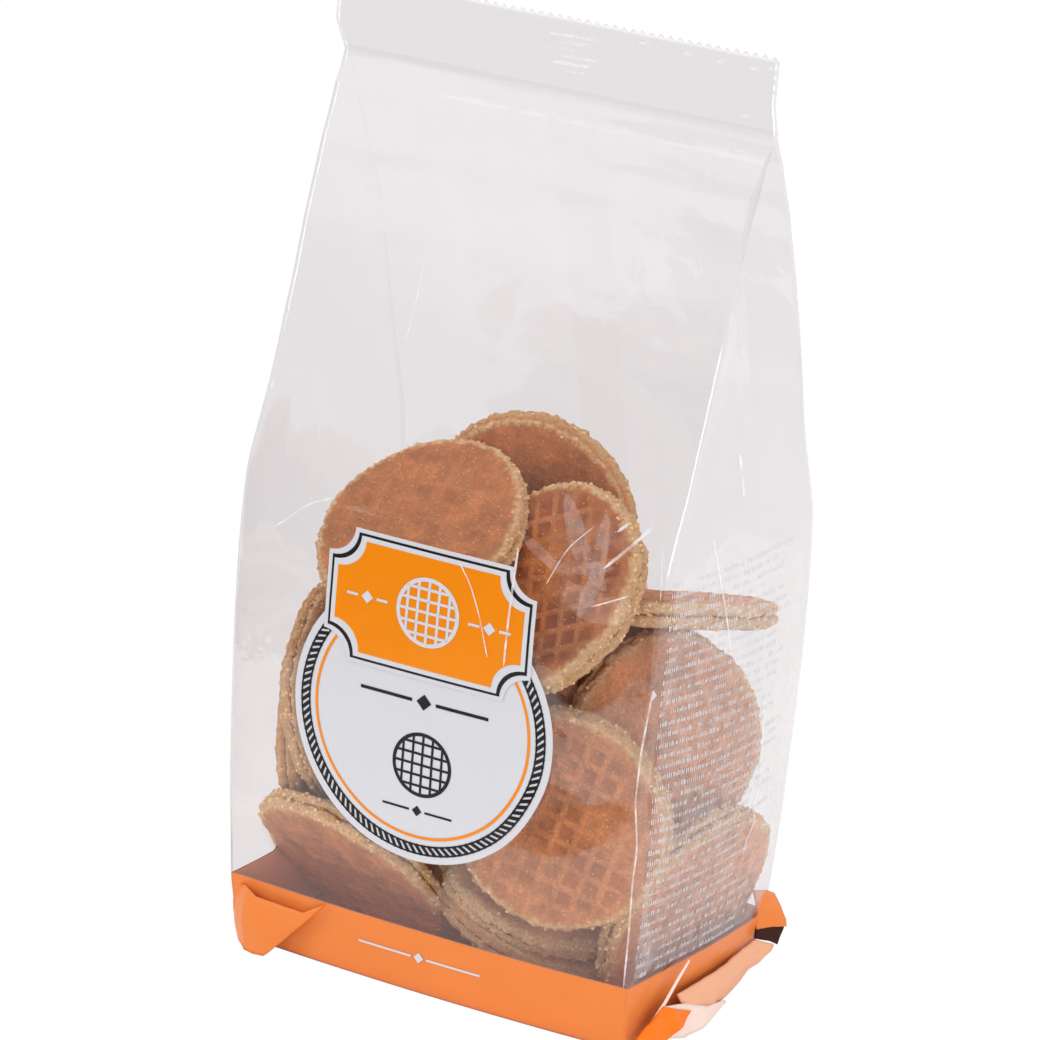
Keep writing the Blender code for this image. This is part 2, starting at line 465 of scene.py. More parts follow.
def crumb_material():
    """Broken waffle crumb: the pale inside of the biscuit, matt and rough."""
    material, tree = new_material("broken_waffle_crumb")
    inside = {0: mottle(tree, 0.8, 3.0), 6: linear("#F6B46C"), 7: linear("#FFE6B4")}
    crumb = add_node(tree, "ShaderNodeMix", inside, data_type="RGBA")
    # Partly painted light: a high tone pales the crumbs of wafers lying in shade
    tone = add_node(tree, "ShaderNodeAttribute", attribute_name="tone").outputs["Fac"]
    paler = add_node(tree, "ShaderNodeMapRange", {0: tone, 1: 1.0, 2: 2.0, 3: 0.0, 4: 0.6})
    lightly = {0: paler, 6: crumb, 7: linear("#FFE6BE")}
    toned = add_node(tree, "ShaderNodeMix", lightly, data_type="RGBA")
    matt = {"Base Color": toned, "Roughness": 0.85}
    finish_material(tree, add_node(tree, "ShaderNodeBsdfPrincipled", matt))
    return material


def syrup_material():
    """Set caramel syrup: amber, smooth and a little wet."""
    material, tree = new_material("set_caramel_syrup")
    amber = {0: mottle(tree, 2.0, 3.0), 6: linear("#7E4722"), 7: linear("#B0703A")}
    colour = add_node(tree, "ShaderNodeMix", amber, data_type="RGBA")
    wet = {"Base Color": colour, "Roughness": 0.3, "IOR": 1.49}
    finish_material(tree, add_node(tree, "ShaderNodeBsdfPrincipled", wet))
    return material


# The wafers that show, placed one by one from the photograph and then pushed apart where they would
# overlap: middle, the way the face looks in degrees round from the front and up, and its own turn
Wafer = namedtuple("Wafer", "name middle azimuth elevation radius turn")
PLACED_WAFERS = (
    Wafer("top_left", (-19.0, -9.8, 94.0), -4, 57, 23.9, 8),
    Wafer("top_back", (-8.4, 17.0, 94.2), 14, -5, 23.7, -5),
    Wafer("top_right", (12.4, -10.5, 89.6), -13, 35, 24.4, 30),
    Wafer("side_flat", (29.5, 13.0, 87.0), -146, 74, 23.6, 12),
    Wafer("side_upper", (33.2, 7.7, 55.5), 59, 12, 24.3, 20),
    Wafer("front_right", (26.5, -17.0, 43.5), 14, -2, 24.4, 4),
    Wafer("low_upper", (9.4, 2.6, 21.2), 53, 60, 24.3, 40),
    Wafer("low_flat", (9.5, -0.5, 10.0), 68, 71, 24.3, 25),
    Wafer("side_low", (37.5, 8.0, 22.0), 74, -26, 24.3, 10),
    Wafer("front_left", (-25.0, -15.0, 14.5), -5, -41, 24.2, 15),
    Wafer("left_middle", (-47.0, 2.0, 42.0), -80, -4, 24.0, 0),
    Wafer("left_edge", (-44.5, -5.0, 54.0), -76, -8, 23.8, 33),
    Wafer("left_second", (-36.0, -2.0, 58.5), -70, -14, 23.8, 21),
)
# Rough middles of the wafers behind them
FILLER_PLACES = (
    (-29, 28, 29), (10, 27, 60), (-14, 26, 76), (-4, 13, 60), (-24, 14, 74), (-14, -1.0, 56),
)
# Settling: how much a placed wafer yields, where one behind yields 1, and the share of its drift
# that it takes back in each round
WAFER_EASE = 0.05
WAFER_HOME = 0.12
# The room that wafers keep from each other and from the film
WAFER_GAP = 0.1
FILM_GAP = 1.0
SETTLE_ROUNDS = 260
# What of an overlap is pushed and turned away in one round, and the limits of one move
PUSH_SHARE = 0.5
SPIN_SHARE = 0.8
TOUCH_DEPTH = 0.02
PUSH_DEPTH = 2.0
MOST_MOVE = 1.5
MOST_SPIN = 0.06
SINK = 0.05
# Where a wafer is tested for overlaps: spots round it, at its rim and part of the way in
CIRCLE_SPOTS = 28
SPOT_REACHES = (1.0, 0.55)
RIM_STEPS = 230
# The rim from the upper face to the lower: inset from the outline, height, 1 where syrup shows
RIM_PROFILE = (
    (-0.5, 1.0, 0.0),
    (-0.1, 0.86, 0.0),
    (0.15, 0.7, 0.0),
    (0.35, 0.53, 0.0),
    (0.4, 0.36, 0.0),
    (0.1, 0.2, 0.0),
    (-0.5, 0.1, 1.0),
    (-0.5, -0.1, 1.0),
    (0.1, -0.2, 0.0),
    (0.4, -0.36, 0.0),
    (0.35, -0.53, 0.0),
    (0.15, -0.7, 0.0),
    (-0.1, -0.86, 0.0),
    (-0.5, -1.0, 0.0),
)
# A waffle ridge from its middle: its crest, its flank, and where its mesh bends
RIDGE_CREST, RIDGE_FLANK = 0.4, 0.6
RIDGE_LINES = (-0.95, -0.45, 0.45, 0.95)
# Rings of corners inside a face's outline: how far in, and how many corners each one skips
FACE_RINGS = ((1.2, 1), (1.9, 2), (2.7, 2))
GRID_MARGIN = 3.4
# How a face changes towards its edge: where and how wide, its roughness, swell, drop and bake
EDGE_START, EDGE_WIDTH = 1.0, 2.4
FACE_ROUGHNESS, EDGE_ROUGHNESS = 0.12, 0.26
FACE_SWELL, EDGE_DROP = 0.5, 0.45
PALE_START, PALE_WIDTH = 0.5, 1.3
# How uneven the rim is: inset, broad waves, small waves and crumbs, then jags of its side
RIM_INSET, RIM_BROAD, RIM_FINE, RIM_CRUMBS = 0.6, 1.1, 0.3, 0.35
SIDE_JAG, SIDE_SWAY, SIDE_LIFT = 0.7, 0.4, 0.3
MOST_WARP = 0.6
LOWEST_WAFER = 0.7
# How deep the waffle iron has pressed each wafer, how light each is made (partly its bake,
# partly painted light that lifts wafers lying in shade), and how far its browning runs
# over the rim
RELIEF = {
    "top_left": 0.3, "top_back": 0.35, "top_right": 0.9, "front_right": 0.85, "front_left": 0.25,
}
TONES = {
    "top_left": (1.1, 0.2), "top_back": (1.1, 0.95), "top_right": (0.95, 0.1),
    "front_right": (1.34, 0.4), "front_left": (1.36, 0.1), "low_upper": (1.8, 0.0),
    "low_flat": (1.5, 0.7), "side_upper": (1.7, 0.4), "side_low": (1.6, 0.2),
    "side_flat": (1.5, 0.0),
}
USUAL_RELIEF = 0.75
USUAL_TONE = (1.0, 0.5)
PRESS_DEPTH = 0.36
SMALLEST_CRUMB, LARGEST_CRUMB = 0.16, 0.5


def facing(azimuth, elevation, turn=0.0):
    """A face's turn: its flat axes and its outward way, as the columns of a matrix."""
    a, e, t = (math.radians(angle) for angle in (azimuth, elevation, turn))
    normal = np.array([math.sin(a) * math.cos(e), -math.cos(a) * math.cos(e), math.sin(e)])
    side = np.cross([0, 0, 1.0], normal)
    side /= np.linalg.norm(side)
    upper = np.cross(normal, side)
    first = math.cos(t) * side + math.sin(t) * upper
    return np.stack([first, np.cross(normal, first), normal], 1)


def turned(matrix, spin):
    """A wafer's turn after a small rotation about an axis as long as its angle."""
    angle = np.linalg.norm(spin)
    if angle < 1e-9:
        return matrix
    return np.array(Matrix.Rotation(angle, 3, Vector(spin))) @ matrix


def filler_wafers(seed):
    """The wafers that lie behind, upright and loosely tilted in the back half of the bag."""
    draw = random.Random(seed)
    made = []
    for number, place in enumerate(FILLER_PLACES):
        middle = tuple(c + draw.uniform(-1, 1) for c in place)
        azimuth = 180 + draw.uniform(-8, 8)
        elevation = draw.uniform(-4, 7)
        radius, turn = draw.uniform(23.6, 24.4), draw.uniform(0, 90)
        made.append(Wafer(f"back_{number + 1}", middle, azimuth, elevation, radius, turn))
    return made


def wafer_spots():
    """Places all over a wafer of radius and half thickness 1, its two middles last."""
    angle = np.linspace(0, 2 * math.pi, CIRCLE_SPOTS, endpoint=False)
    circle = np.stack([np.cos(angle), np.sin(angle), np.zeros(CIRCLE_SPOTS)], 1)
    rings = [circle * (r, r, 0) + (0, 0, level) for r in SPOT_REACHES for level in (-1, 0, 1)]
    return np.concatenate(rings + [[(0, 0, -1), (0, 0, 1)]])


def settle(wafers, thickness, rounds):
    """Pushes wafers out of each other and back inside the film, the placed ones the least."""
    middles = np.array([w.middle for w in wafers], float)
    turns = np.array([facing(w.azimuth, w.elevation, w.turn) for w in wafers])
    radii = np.array([w.radius for w in wafers])
    half = thickness / 2
    ease = np.array([1.0 if w.name.startswith("back") else WAFER_EASE for w in wafers])
    size = np.stack([radii, radii, np.full(len(radii), half)], 1)
    local = wafer_spots()[None] * size[:, None]
    home, home_turns = middles.copy(), turns.copy()
    held = ease < 1
    count = len(wafers)

    def shove(which, spot, push):
        moves[which] += push
        arm = spot - middles[which]
        spins[which] += np.cross(arm, push) / radii[which] ** 2 * SPIN_SHARE

    for step in range(rounds):
        # seen[b, a] holds the spots of wafer a in the frame of wafer b
        spots = np.einsum("nij,npj->npi", turns, local) + middles[:, None]
        seen = np.einsum("bji,bapj->bapi", turns, spots[None] - middles[:, None, None])
        centre = np.einsum("bji,baj->bai", turns, middles[None] - middles[:, None])
        side = np.where(centre[..., 2] >= 0, 1.0, -1.0)
        reach = np.hypot(seen[..., 0], seen[..., 1])
        face_depth = half + WAFER_GAP - side[..., None] * seen[..., 2]
        rim_depth = radii[:, None, None] + WAFER_GAP - reach
        inside = (np.abs(seen[..., 2]) < half + WAFER_GAP) & (rim_depth > 0)
        depth = np.where(inside, np.minimum(face_depth, rim_depth), 0.0)
        depth[np.arange(count), np.arange(count)] = 0.0
        worst = depth.argmax(2)
        moves, spins = np.zeros_like(middles), np.zeros_like(middles)
        for b, a in zip(*np.nonzero(depth.max(2) > TOUCH_DEPTH)):
            at = worst[b, a]
            amount = min(depth[b, a, at], PUSH_DEPTH)
            if face_depth[b, a, at] <= rim_depth[b, a, at]:
                way = turns[b][:, 2] * side[b, a]
            else:
                spot = seen[b, a, at] * (1, 1, 0)
                way = turns[b] @ (spot / max(np.linalg.norm(spot), 1e-6))
            share = ease[a] / (ease[a] + ease[b])
            shove(a, spots[a, at], way * amount * share * PUSH_SHARE)
            shove(b, spots[a, at], -way * amount * (1 - share) * PUSH_SHARE)
        walls = wall_moves(spots, FILM_GAP)
        deepest = np.linalg.norm(walls, axis=2).argmax(1)
        for which, at in enumerate(deepest):
            shove(which, spots[which, at], walls[which, at] * PUSH_SHARE)
        moves[~held, 2] -= SINK * (1 - step / rounds)
        moves[held] += (home - middles)[held] * WAFER_HOME
        for which in np.nonzero(held)[0]:
            spins[which] += np.cross(turns[which][:, 2], home_turns[which][:, 2]) * WAFER_HOME
        middles += np.clip(moves, -MOST_MOVE, MOST_MOVE)
        limited = np.clip(spins, -MOST_SPIN, MOST_SPIN)
        turns = np.array([turned(turn, spin) for turn, spin in zip(turns, limited)])
    return middles, turns


def lattice_lines(pitch, reach, offset):
    """Edges of the waffle's ridges along one axis: four lines for each ridge."""
    lines = []
    number = math.ceil(reach / pitch) + 1
    for ridge in range(-number, number + 1):
        middle = ridge * pitch + offset
        lines += [middle + side for side in RIDGE_LINES]
    return [line for line in lines if abs(line) < reach]


def ridge_share(place, pitch, offset):
    """1 on a ridge's top, falling to 0 at its foot."""
    away = np.abs((place - offset + pitch / 2) % pitch - pitch / 2)
    return 1 - smooth_share((away - RIDGE_CREST) / RIDGE_FLANK)


def wafer_rim(radius, seed):
    """The uneven outline of one wafer: its reach at each step round it."""
    angles = [2 * math.pi * step / RIM_STEPS for step in range(RIM_STEPS)]
    reach = []
    for angle in angles:
        way = Vector((math.cos(angle), math.sin(angle), seed * 7.3))
        broad = noise.noise(way * 1.3) * RIM_BROAD
        fine = noise.noise(Vector((way.x * 9, way.y * 9, way.z))) * RIM_FINE
        crumbs = noise.noise(Vector((way.x * 26, way.y * 26, way.z))) * RIM_CRUMBS
        reach.append(radius - RIM_INSET + broad + fine + crumbs)
    return np.array(angles), np.array(reach)


def ring_inside(angles, reach_at, depth, skip):
    """Corners of a ring that follows the outline, depth millimetres inside it."""
    return [
        (math.cos(a) * (r - depth), math.sin(a) * (r - depth))
        for a, r in zip(angles[::skip], reach_at[::skip])
    ]


def wafer_face(reach_at, angles, pitch, relief, seed, offsets):
    """One waffled face as points, triangles, bake and pit shares, up to the outline."""
    inner = ring_inside(angles, reach_at, -RIM_PROFILE[0][0], 1)
    least = min(reach_at) - GRID_MARGIN
    across = lattice_lines(pitch, least, offsets[0])
    along = lattice_lines(pitch, least, offsets[1])
    lattice = [(x, y) for x in across for y in along if math.hypot(x, y) < least]
    rings = []
    for depth, skip in FACE_RINGS:
        rings += ring_inside(angles, reach_at, depth, skip)
    count = len(inner)
    points = [Vector(p) for p in inner + rings + lattice]
    edges = [(i, (i + 1) % count) for i in range(count)]
    outline = [list(range(count))]
    flat, _, triangles, origins, _, _ = delaunay_2d_cdt(points, edges, outline, 1, 1e-4)
    xy = np.array([tuple(p) for p in flat])
    far = np.hypot(xy[:, 0], xy[:, 1])
    around = np.arctan2(xy[:, 1], xy[:, 0]) % (2 * math.pi)
    edge = np.interp(around, np.append(angles, 2 * math.pi), np.append(reach_at, reach_at[0]))
    inside = edge - far
    imprint = smooth_share((inside - FACE_RINGS[0][0]) / EDGE_WIDTH)
    ridge = np.maximum(
        ridge_share(xy[:, 0], pitch, offsets[0]), ridge_share(xy[:, 1], pitch, offsets[1])
    )
    rough = np.array([noise.noise(Vector((x * 0.9, y * 0.9, seed * 3.1))) for x, y in xy])
    broad = np.array([noise.noise(Vector((x * 0.14, y * 0.14, seed * 5.7))) for x, y in xy])
    fade = 0.35 + 0.65 * smooth_share(broad * 2.4 + 0.5)
    near_edge = 1 - smooth_share((inside - EDGE_START) / EDGE_WIDTH)
    pressed = -relief * (1 - ridge) * imprint * fade
    height = pressed + (FACE_ROUGHNESS + EDGE_ROUGHNESS * near_edge) * rough
    height += FACE_SWELL * broad - EDGE_DROP * smooth_share(1 - inside / EDGE_WIDTH)
    bake = smooth_share((inside - PALE_START + PALE_WIDTH * rough) / PALE_WIDTH)
    pit = (1 - ridge) * imprint * fade
    first = [-1] * count
    for new, olds in enumerate(origins):
        for old in olds:
            if old < count:
                first[old] = new
    return xy, height, triangles, bake, pit, first


def wafer_mesh(name, wafer, middle, turn, thickness, pitch, materials, seed):
    """One filled wafer: two waffled faces, an uneven rim and a thin line of syrup between."""
    angles, reach = wafer_rim(wafer.radius, seed)
    draw = random.Random(seed)
    offsets = (draw.uniform(-pitch / 2, pitch / 2), draw.uniform(-pitch / 2, pitch / 2))
    warp = draw.uniform(-MOST_WARP, MOST_WARP)
    contrast = RELIEF.get(wafer.name, USUAL_RELIEF)
    toast = TONES.get(wafer.name, USUAL_TONE)[1]
    relief = PRESS_DEPTH * contrast
    points, faces, bakes, pits, loops = [], [], [], [], []
    for sign in (1, -1):
        xy, height, triangles, bake, pit, first = wafer_face(
            reach, angles, pitch, relief, seed + (sign < 0) * 50, offsets
        )
        base = len(points)
        points += [(x, y, sign * (thickness / 2 + h)) for (x, y), h in zip(xy, height)]
        for tri in triangles:
            order = tri if sign > 0 else list(reversed(tri))
            faces.append([base + i for i in order])
        bakes += list(bake)
        pits += list(pit * contrast)
        loops.append([base + i for i in first])
    tops = [np.array([points[i][2] for i in loop]) for loop in loops]
    rows = [loops[0]]
    for inset, level, syrup in RIM_PROFILE[1:-1]:
        row = []
        for number, (a, r) in enumerate(zip(angles, reach)):
            height = tops[0][number] * (1 + level) / 2 + tops[1][number] * (1 - level) / 2
            spot = Vector((math.cos(a) * r, math.sin(a) * r, height * 1.3 + seed * 9))
            jag = noise.noise(spot * 0.95) * SIDE_JAG + noise.noise(spot * 0.3) * SIDE_SWAY
            out = r + inset + jag * (1 - 0.6 * syrup)
            row.append(len(points))
            lift = noise.noise(spot * 0.9 + Vector((9, 0, 0))) * SIDE_LIFT
            points.append((math.cos(a) * out, math.sin(a) * out, height + lift))
            bakes.append(0.1 + 0.25 * abs(noise.noise(spot * 0.6)) + toast * level**2)
            pits.append(0.0)
        rows.append(row)
    rows.append(loops[1])
    slots = [0] * len(faces)
    for upper, lower, profile, below in zip(rows, rows[1:], RIM_PROFILE, RIM_PROFILE[1:]):
        for here in range(RIM_STEPS):
            beside = (here + 1) % RIM_STEPS
            faces.append([upper[here], lower[here], lower[beside], upper[beside]])
            slots.append(1 if profile[2] and below[2] else 0)
    local = np.array(points)
    local[:, 2] += warp * (local[:, 0] ** 2 - local[:, 1] ** 2) / wafer.radius**2
    world = local @ turn.T + middle
    world[:, 2] = np.maximum(world[:, 2], LOWEST_WAFER)
    made = mesh_object(name, world, faces, materials, slots)
    add_attribute(made, "bake", bakes)
    add_attribute(made, "pit", pits)
    return made


def crumbs_tree(material):
    """A node tree that scatters small broken grains over the pale, unbaked edges."""
    tree, given = new_tree("edge_crumbs", ["Seed"], ["Density", "Smallest", "Largest"])
    seed = given["Seed"]
    bake = add_node(tree, "GeometryNodeInputNamedAttribute", {"Name": "bake"}, data_type="FLOAT")
    pale = add_node(tree, "FunctionNodeCompare", {0: bake, 1: 0.3}, operation="LESS_THAN")
    dots = {"Mesh": given["Geometry"], "Selection": pale, "Density": given["Density"], "Seed": seed}
    limits = {2: given["Smallest"], 3: given["Largest"], "Seed": seed}
    any_turn = {1: (6.3, 6.3, 6.3), "Seed": seed}
    grains = {
        "Points": add_node(tree, "GeometryNodeDistributePointsOnFaces", dots),
        "Instance": add_node(tree, "GeometryNodeMeshIcoSphere", {"Radius": 1.0, "Subdivisions": 1}),
        "Rotation": add_node(tree, "FunctionNodeRandomValue", any_turn, data_type="FLOAT_VECTOR"),
        "Scale": add_node(tree, "FunctionNodeRandomValue", limits, data_type="FLOAT"),
    }
    return finish_tree(tree, add_node(tree, "GeometryNodeInstanceOnPoints", grains), material)


class WaferSettings(bpy.types.PropertyGroup):
    """Sizes of the wafers, and what draws their details."""

    thickness: length_setting("Thickness", "One filled wafer's thickness", 5.6)
    pitch: length_setting("Grid pitch", "From ridge to ridge of the waffle iron's grid", 4.6)
    seed: IntProperty(name="Seed", description="Draws the wafers that lie behind", default=7)
    crumbs: FloatProperty(
        name="Crumbs", description="Grains on each square centimetre of broken edge", default=30.0
    )


class BAG_OT_wafers(bpy.types.Operator):
    """Settles the wafers in the bag and makes each one"""

    bl_idname = "bag.wafers"
    bl_label = "Wafers"

    def execute(self, context):
        sizes = context.scene.bag_wafers
        thickness, pitch = sizes.thickness / MM, sizes.pitch / MM
        wafers = list(PLACED_WAFERS) + filler_wafers(sizes.seed)
        middles, turns = settle(wafers, thickness, SETTLE_ROUNDS)
        materials = [wafer_material(), syrup_material()]
        grains = crumbs_tree(crumb_material())
        for number, (wafer, middle, turn) in enumerate(zip(wafers, middles, turns)):
            name = f"wafer_{wafer.name}"
            made = wafer_mesh(name, wafer, middle, turn, thickness, pitch, materials, number)
            made["wafer"] = True
            self.add_crumbs(made, grains, sizes.crumbs, number)
            # Tone: partly the wafer's bake, partly painted light for wafers lying in shade
            tone = TONES.get(wafer.name, USUAL_TONE)[0]
            add_attribute(made, "tone", np.full(len(made.data.vertices), tone))
            hand_over(made)
        return {"FINISHED"}

    def add_crumbs(self, made, grains, density, seed):
        """Joins the loose grains that the node tree scatters into the wafer's own mesh."""
        sizes = {"Smallest": SMALLEST_CRUMB * MM, "Largest": LARGEST_CRUMB * MM}
        values = {"Seed": seed, "Density": density * PER_SQUARE_METRE, **sizes}
        mesh = made_by_nodes(add_object("crumb_source", made.data.copy()), grains, values)
        loose = add_object("crumbs", mesh)
        with bpy.context.temp_override(active_object=made, selected_editable_objects=[made, loose]):
            bpy.ops.object.join()


def wafer_objects():
    return [made for made in bpy.context.scene.objects if made.get("wafer")]


def tree_over(objects):
    """A search tree over the meshes of several objects, in metres."""
    points, faces = [], []
    for made in objects:
        base = len(points)
        points += [v.co.copy() for v in made.data.vertices]
        faces += [[base + i for i in p.vertices] for p in made.data.polygons]
    return BVHTree.FromPolygons(points, faces)


# The film

Dent = namedtuple("Dent", "x height half_width half_height rise")
DENTS = (Dent(25.0, 45.0, 17.0, 13.0, 1.1), Dent(33.0, 104.0, 14.0, 12.0, 1.4))
# Painted reflection: patches on the front panel where mirror and haze are turned down: across,
# height, half width, half height
PAINTED_CLEAR_PATCHES = (
    (32.5, 47.5, 14.5, 5.8), (34.5, 79.5, 8.5, 6.0), (1.0, 30.0, 4.0, 6.0), (16.0, 96.0, 9.0, 15.0),
)
PAINTED_PATCH_SLOPE = 0.39
# Facets: seed, spacing, and their height on the taut lower front panel and elsewhere
FACETS = ((3, 27.0, 0.35, 0.9), (11, 11.0, 0.12, 0.22))
TAUT_TOP = 105.0
# Where wafers may push the film out, and the ray that looks for them from outside
WAFER_ZONE = (1.0, 135.0)
PROBE_REACH = 12.0
PROBE_LENGTH = 12.5
CRIMP_DEPTH, CRIMP_PITCH = 0.1, 1.9
BASE_ROWS = (0.0, 0.5, 1.2, 2.2, 3.4, 4.6)
LINING_GAP = 0.4
# The saw-cut top: room kept for its teeth, and how far its valleys and tips stay below the crown
TOOTH_ROOM = 1.6
VALLEY_DEPTH, TOOTH_DEPTH = 1.15, 0.05


def film_rows():
    """Heights of the film's rows, one exactly at the top of the printed band."""
    band = list(np.linspace(5.8, BAND_TOP, 8))
    body = list(np.linspace(BAND_TOP, SEAL_FOOT, round((SEAL_FOOT - BAND_TOP) / ROW_STEP)))[1:]
    crown = SEAL_CROWN - TOOTH_ROOM
    seal = list(np.linspace(SEAL_FOOT, crown, round((crown - SEAL_FOOT) / SEAL_ROW_STEP)))[1:]
    return [*BASE_ROWS, *band, *body, *seal]


def crumple(seed, spacing, width, height):
    """Flat facets over the unrolled film, as in handled film: a search tree of their heights."""
    draw = random.Random(seed)
    spots = []
    for row in range(math.ceil(height / spacing) + 2):
        for column in range(math.ceil(width / spacing)):
            s = (column + draw.uniform(-0.42, 0.42) + 0.5) * spacing
            z = (row + draw.uniform(-0.42, 0.42) - 0.5) * spacing
            rise = draw.uniform(-1, 1)
            for wrap in (-width, 0, width):
                if -2 * spacing < s + wrap < width + 2 * spacing:
                    spots.append((s + wrap, z, rise))
    flat, _, triangles, origins, _, _ = delaunay_2d_cdt(
        [Vector(p[:2]) for p in spots], [], [], 0, 1e-4
    )
    tops = [Vector((p.x, p.y, spots[o[0]][2])) for p, o in zip(flat, origins)]
    return BVHTree.FromPolygons(tops, triangles)


def facet_height(tree, s, z):
    hit = tree.ray_cast(Vector((s, z, 5.0)), Vector((0, 0, -1)))[0]
    return hit.z if hit else 0.0


def facet_lift(rings, rows, panel, across):
    """How far facets and dents raise each point of the film, in millimetres."""
    ring = rings[min(range(len(rows)), key=lambda r: abs(rows[r] - 80))]
    spans = np.linalg.norm(np.roll(ring, -1, 0) - ring, axis=1)
    run = np.concatenate([[0], np.cumsum(spans)[:-1]])
    layers = [
        (crumple(seed, spacing, float(spans.sum()), SEAL_FOOT), taut, loose)
        for seed, spacing, taut, loose in FACETS
    ]
    lift = np.zeros(rings.shape[:2])
    for r, z in enumerate(rows):
        if z > SEAL_FOOT:
            continue
        hold = smooth_share((z - 3) / 14) * smooth_share((SEAL_FOOT - z) / 22)
        for c in range(len(panel)):
            corner = 1 - abs(across[c]) ** 6
            is_taut = panel[c] == 0 and z < TAUT_TOP
            value = sum(
                (taut if is_taut else loose) * facet_height(tree, run[c], z)
                for tree, taut, loose in layers
            )
            lift[r, c] = value * hold * (0.25 + 0.75 * corner)
            for dent in DENTS if panel[c] == 0 else ():
                away = ((rings[r, c, 0] - dent.x) / dent.half_width) ** 2
                away += ((z - dent.height) / dent.half_height) ** 2
                lift[r, c] += dent.rise * max(0.0, 1 - away) ** 2
    return lift


def painted_clear_patch_share(rings, rows, panel):
    """Share of painted reflection taken off each point of the front panel, in ragged slanting patches.
    """
    painted_clear_patch = np.zeros(rings.shape[:2])
    for r, z in enumerate(rows):
        for c in np.nonzero(panel == 0)[0] if z <= SEAL_FOOT else ():
            ragged = 0.5 * noise.noise(Vector((rings[r, c, 0] * 0.2, z * 0.3, 2)))
            for x, height, half_width, half_height in PAINTED_CLEAR_PATCHES:
                aside = rings[r, c, 0] - x
                away = (aside / half_width) ** 2
                away += ((z - height - PAINTED_PATCH_SLOPE * aside) / half_height) ** 2
                painted_clear_patch[r, c] = max(painted_clear_patch[r, c], clamp(1.25 - away + ragged))
    return painted_clear_patch


def wafer_lift(rings, ways, rows, wafers):
    """How far each point of the film has to rise to lie over the wafers, smoothed."""
    outside = tree_over(wafers)
    raised = np.zeros(rings.shape[:2])
    for r, z in enumerate(rows):
        if not WAFER_ZONE[0] <= z <= WAFER_ZONE[1]:
            continue
        for c in range(rings.shape[1]):
            spot, way = Vector(rings[r, c] * MM), Vector(ways[r, c])
            start = spot + way * (PROBE_REACH * MM)
            hit, _, _, gone = outside.ray_cast(start, -way, PROBE_LENGTH * MM)
            if hit is not None:
                raised[r, c] = max(0.0, PROBE_LENGTH - gone / MM)
    for _ in range(3):
        beside = (np.roll(raised, 1, 1) + np.roll(raised, -1, 1)) / 2
        above = (np.roll(raised, 1, 0) + np.roll(raised, -1, 0)) / 2
        raised = np.maximum(raised, (raised * 2 + beside + above) / 4)
    return raised


def crimp_seal(rings, rows):
    """Presses fine ribs across the seal and lets it wave a little."""
    for r, z in enumerate(rows):
        if SEAL_FOOT + 1.5 < z < SEAL_CROWN - 2:
            rings[r, :, 1] += CRIMP_DEPTH * math.sin(2 * math.pi * z / CRIMP_PITCH)
        if z > SEAL_FOOT - 6:
            wave = smooth_share((z - SEAL_FOOT + 6) / 10)
            for c, x in enumerate(rings[r, :, 0]):
                rings[r, c, 1] += wave * 0.5 * noise.noise(Vector((x * 0.05, z * 0.06, 4)))


def film_mesh(materials, wafers):
    """The whole closed skin: flat base, body over its wafers, and the crimped seal."""
    panel, across = film_columns()
    rows = film_rows()
    rings, ways = (np.array(part) for part in zip(*(film_ring(z, panel, across) for z in rows)))
    # Painted reflection mask, read by the film material
    painted_clear_patch = painted_clear_patch_share(rings, rows, panel)
    rings = rings + ways * facet_lift(rings, rows, panel, across)[..., None]
    rings = rings + ways * wafer_lift(rings, ways, rows, wafers)[..., None]
    crimp_seal(rings, rows)
    made = skin_object(rings, materials, panel, rows)
    given = np.zeros(len(made.data.vertices))
    given[: painted_clear_patch.size] = painted_clear_patch.ravel()
    add_attribute(made, "painted_clear_patch", given)
    return made, lining_object(rings, ways, rows)


def lining_object(rings, ways, rows):
    """The pale backing behind the band's ink, seen where the bag is looked into."""
    low = [r for r in range(len(rows)) if 0.4 < rows[r] < BAND_TOP + 0.01]
    inner = (rings[low] - ways[low] * LINING_GAP).reshape(-1, 3)
    count = rings.shape[1]
    faces = []
    for near in range(0, (len(low) - 1) * count, count):
        for c in range(count):
            beside, far = (c + 1) % count, near + count
            faces.append([near + c, far + c, far + beside, near + beside])
    return mesh_object("band_lining", inner, faces, [backing_material()])


def backing_material():
    """The back of the flexographic print: the orange ink shows paler through its white base."""
    return ink_material("pale_print_backing", linear("#F3B28C"), 0.05, 0.4)


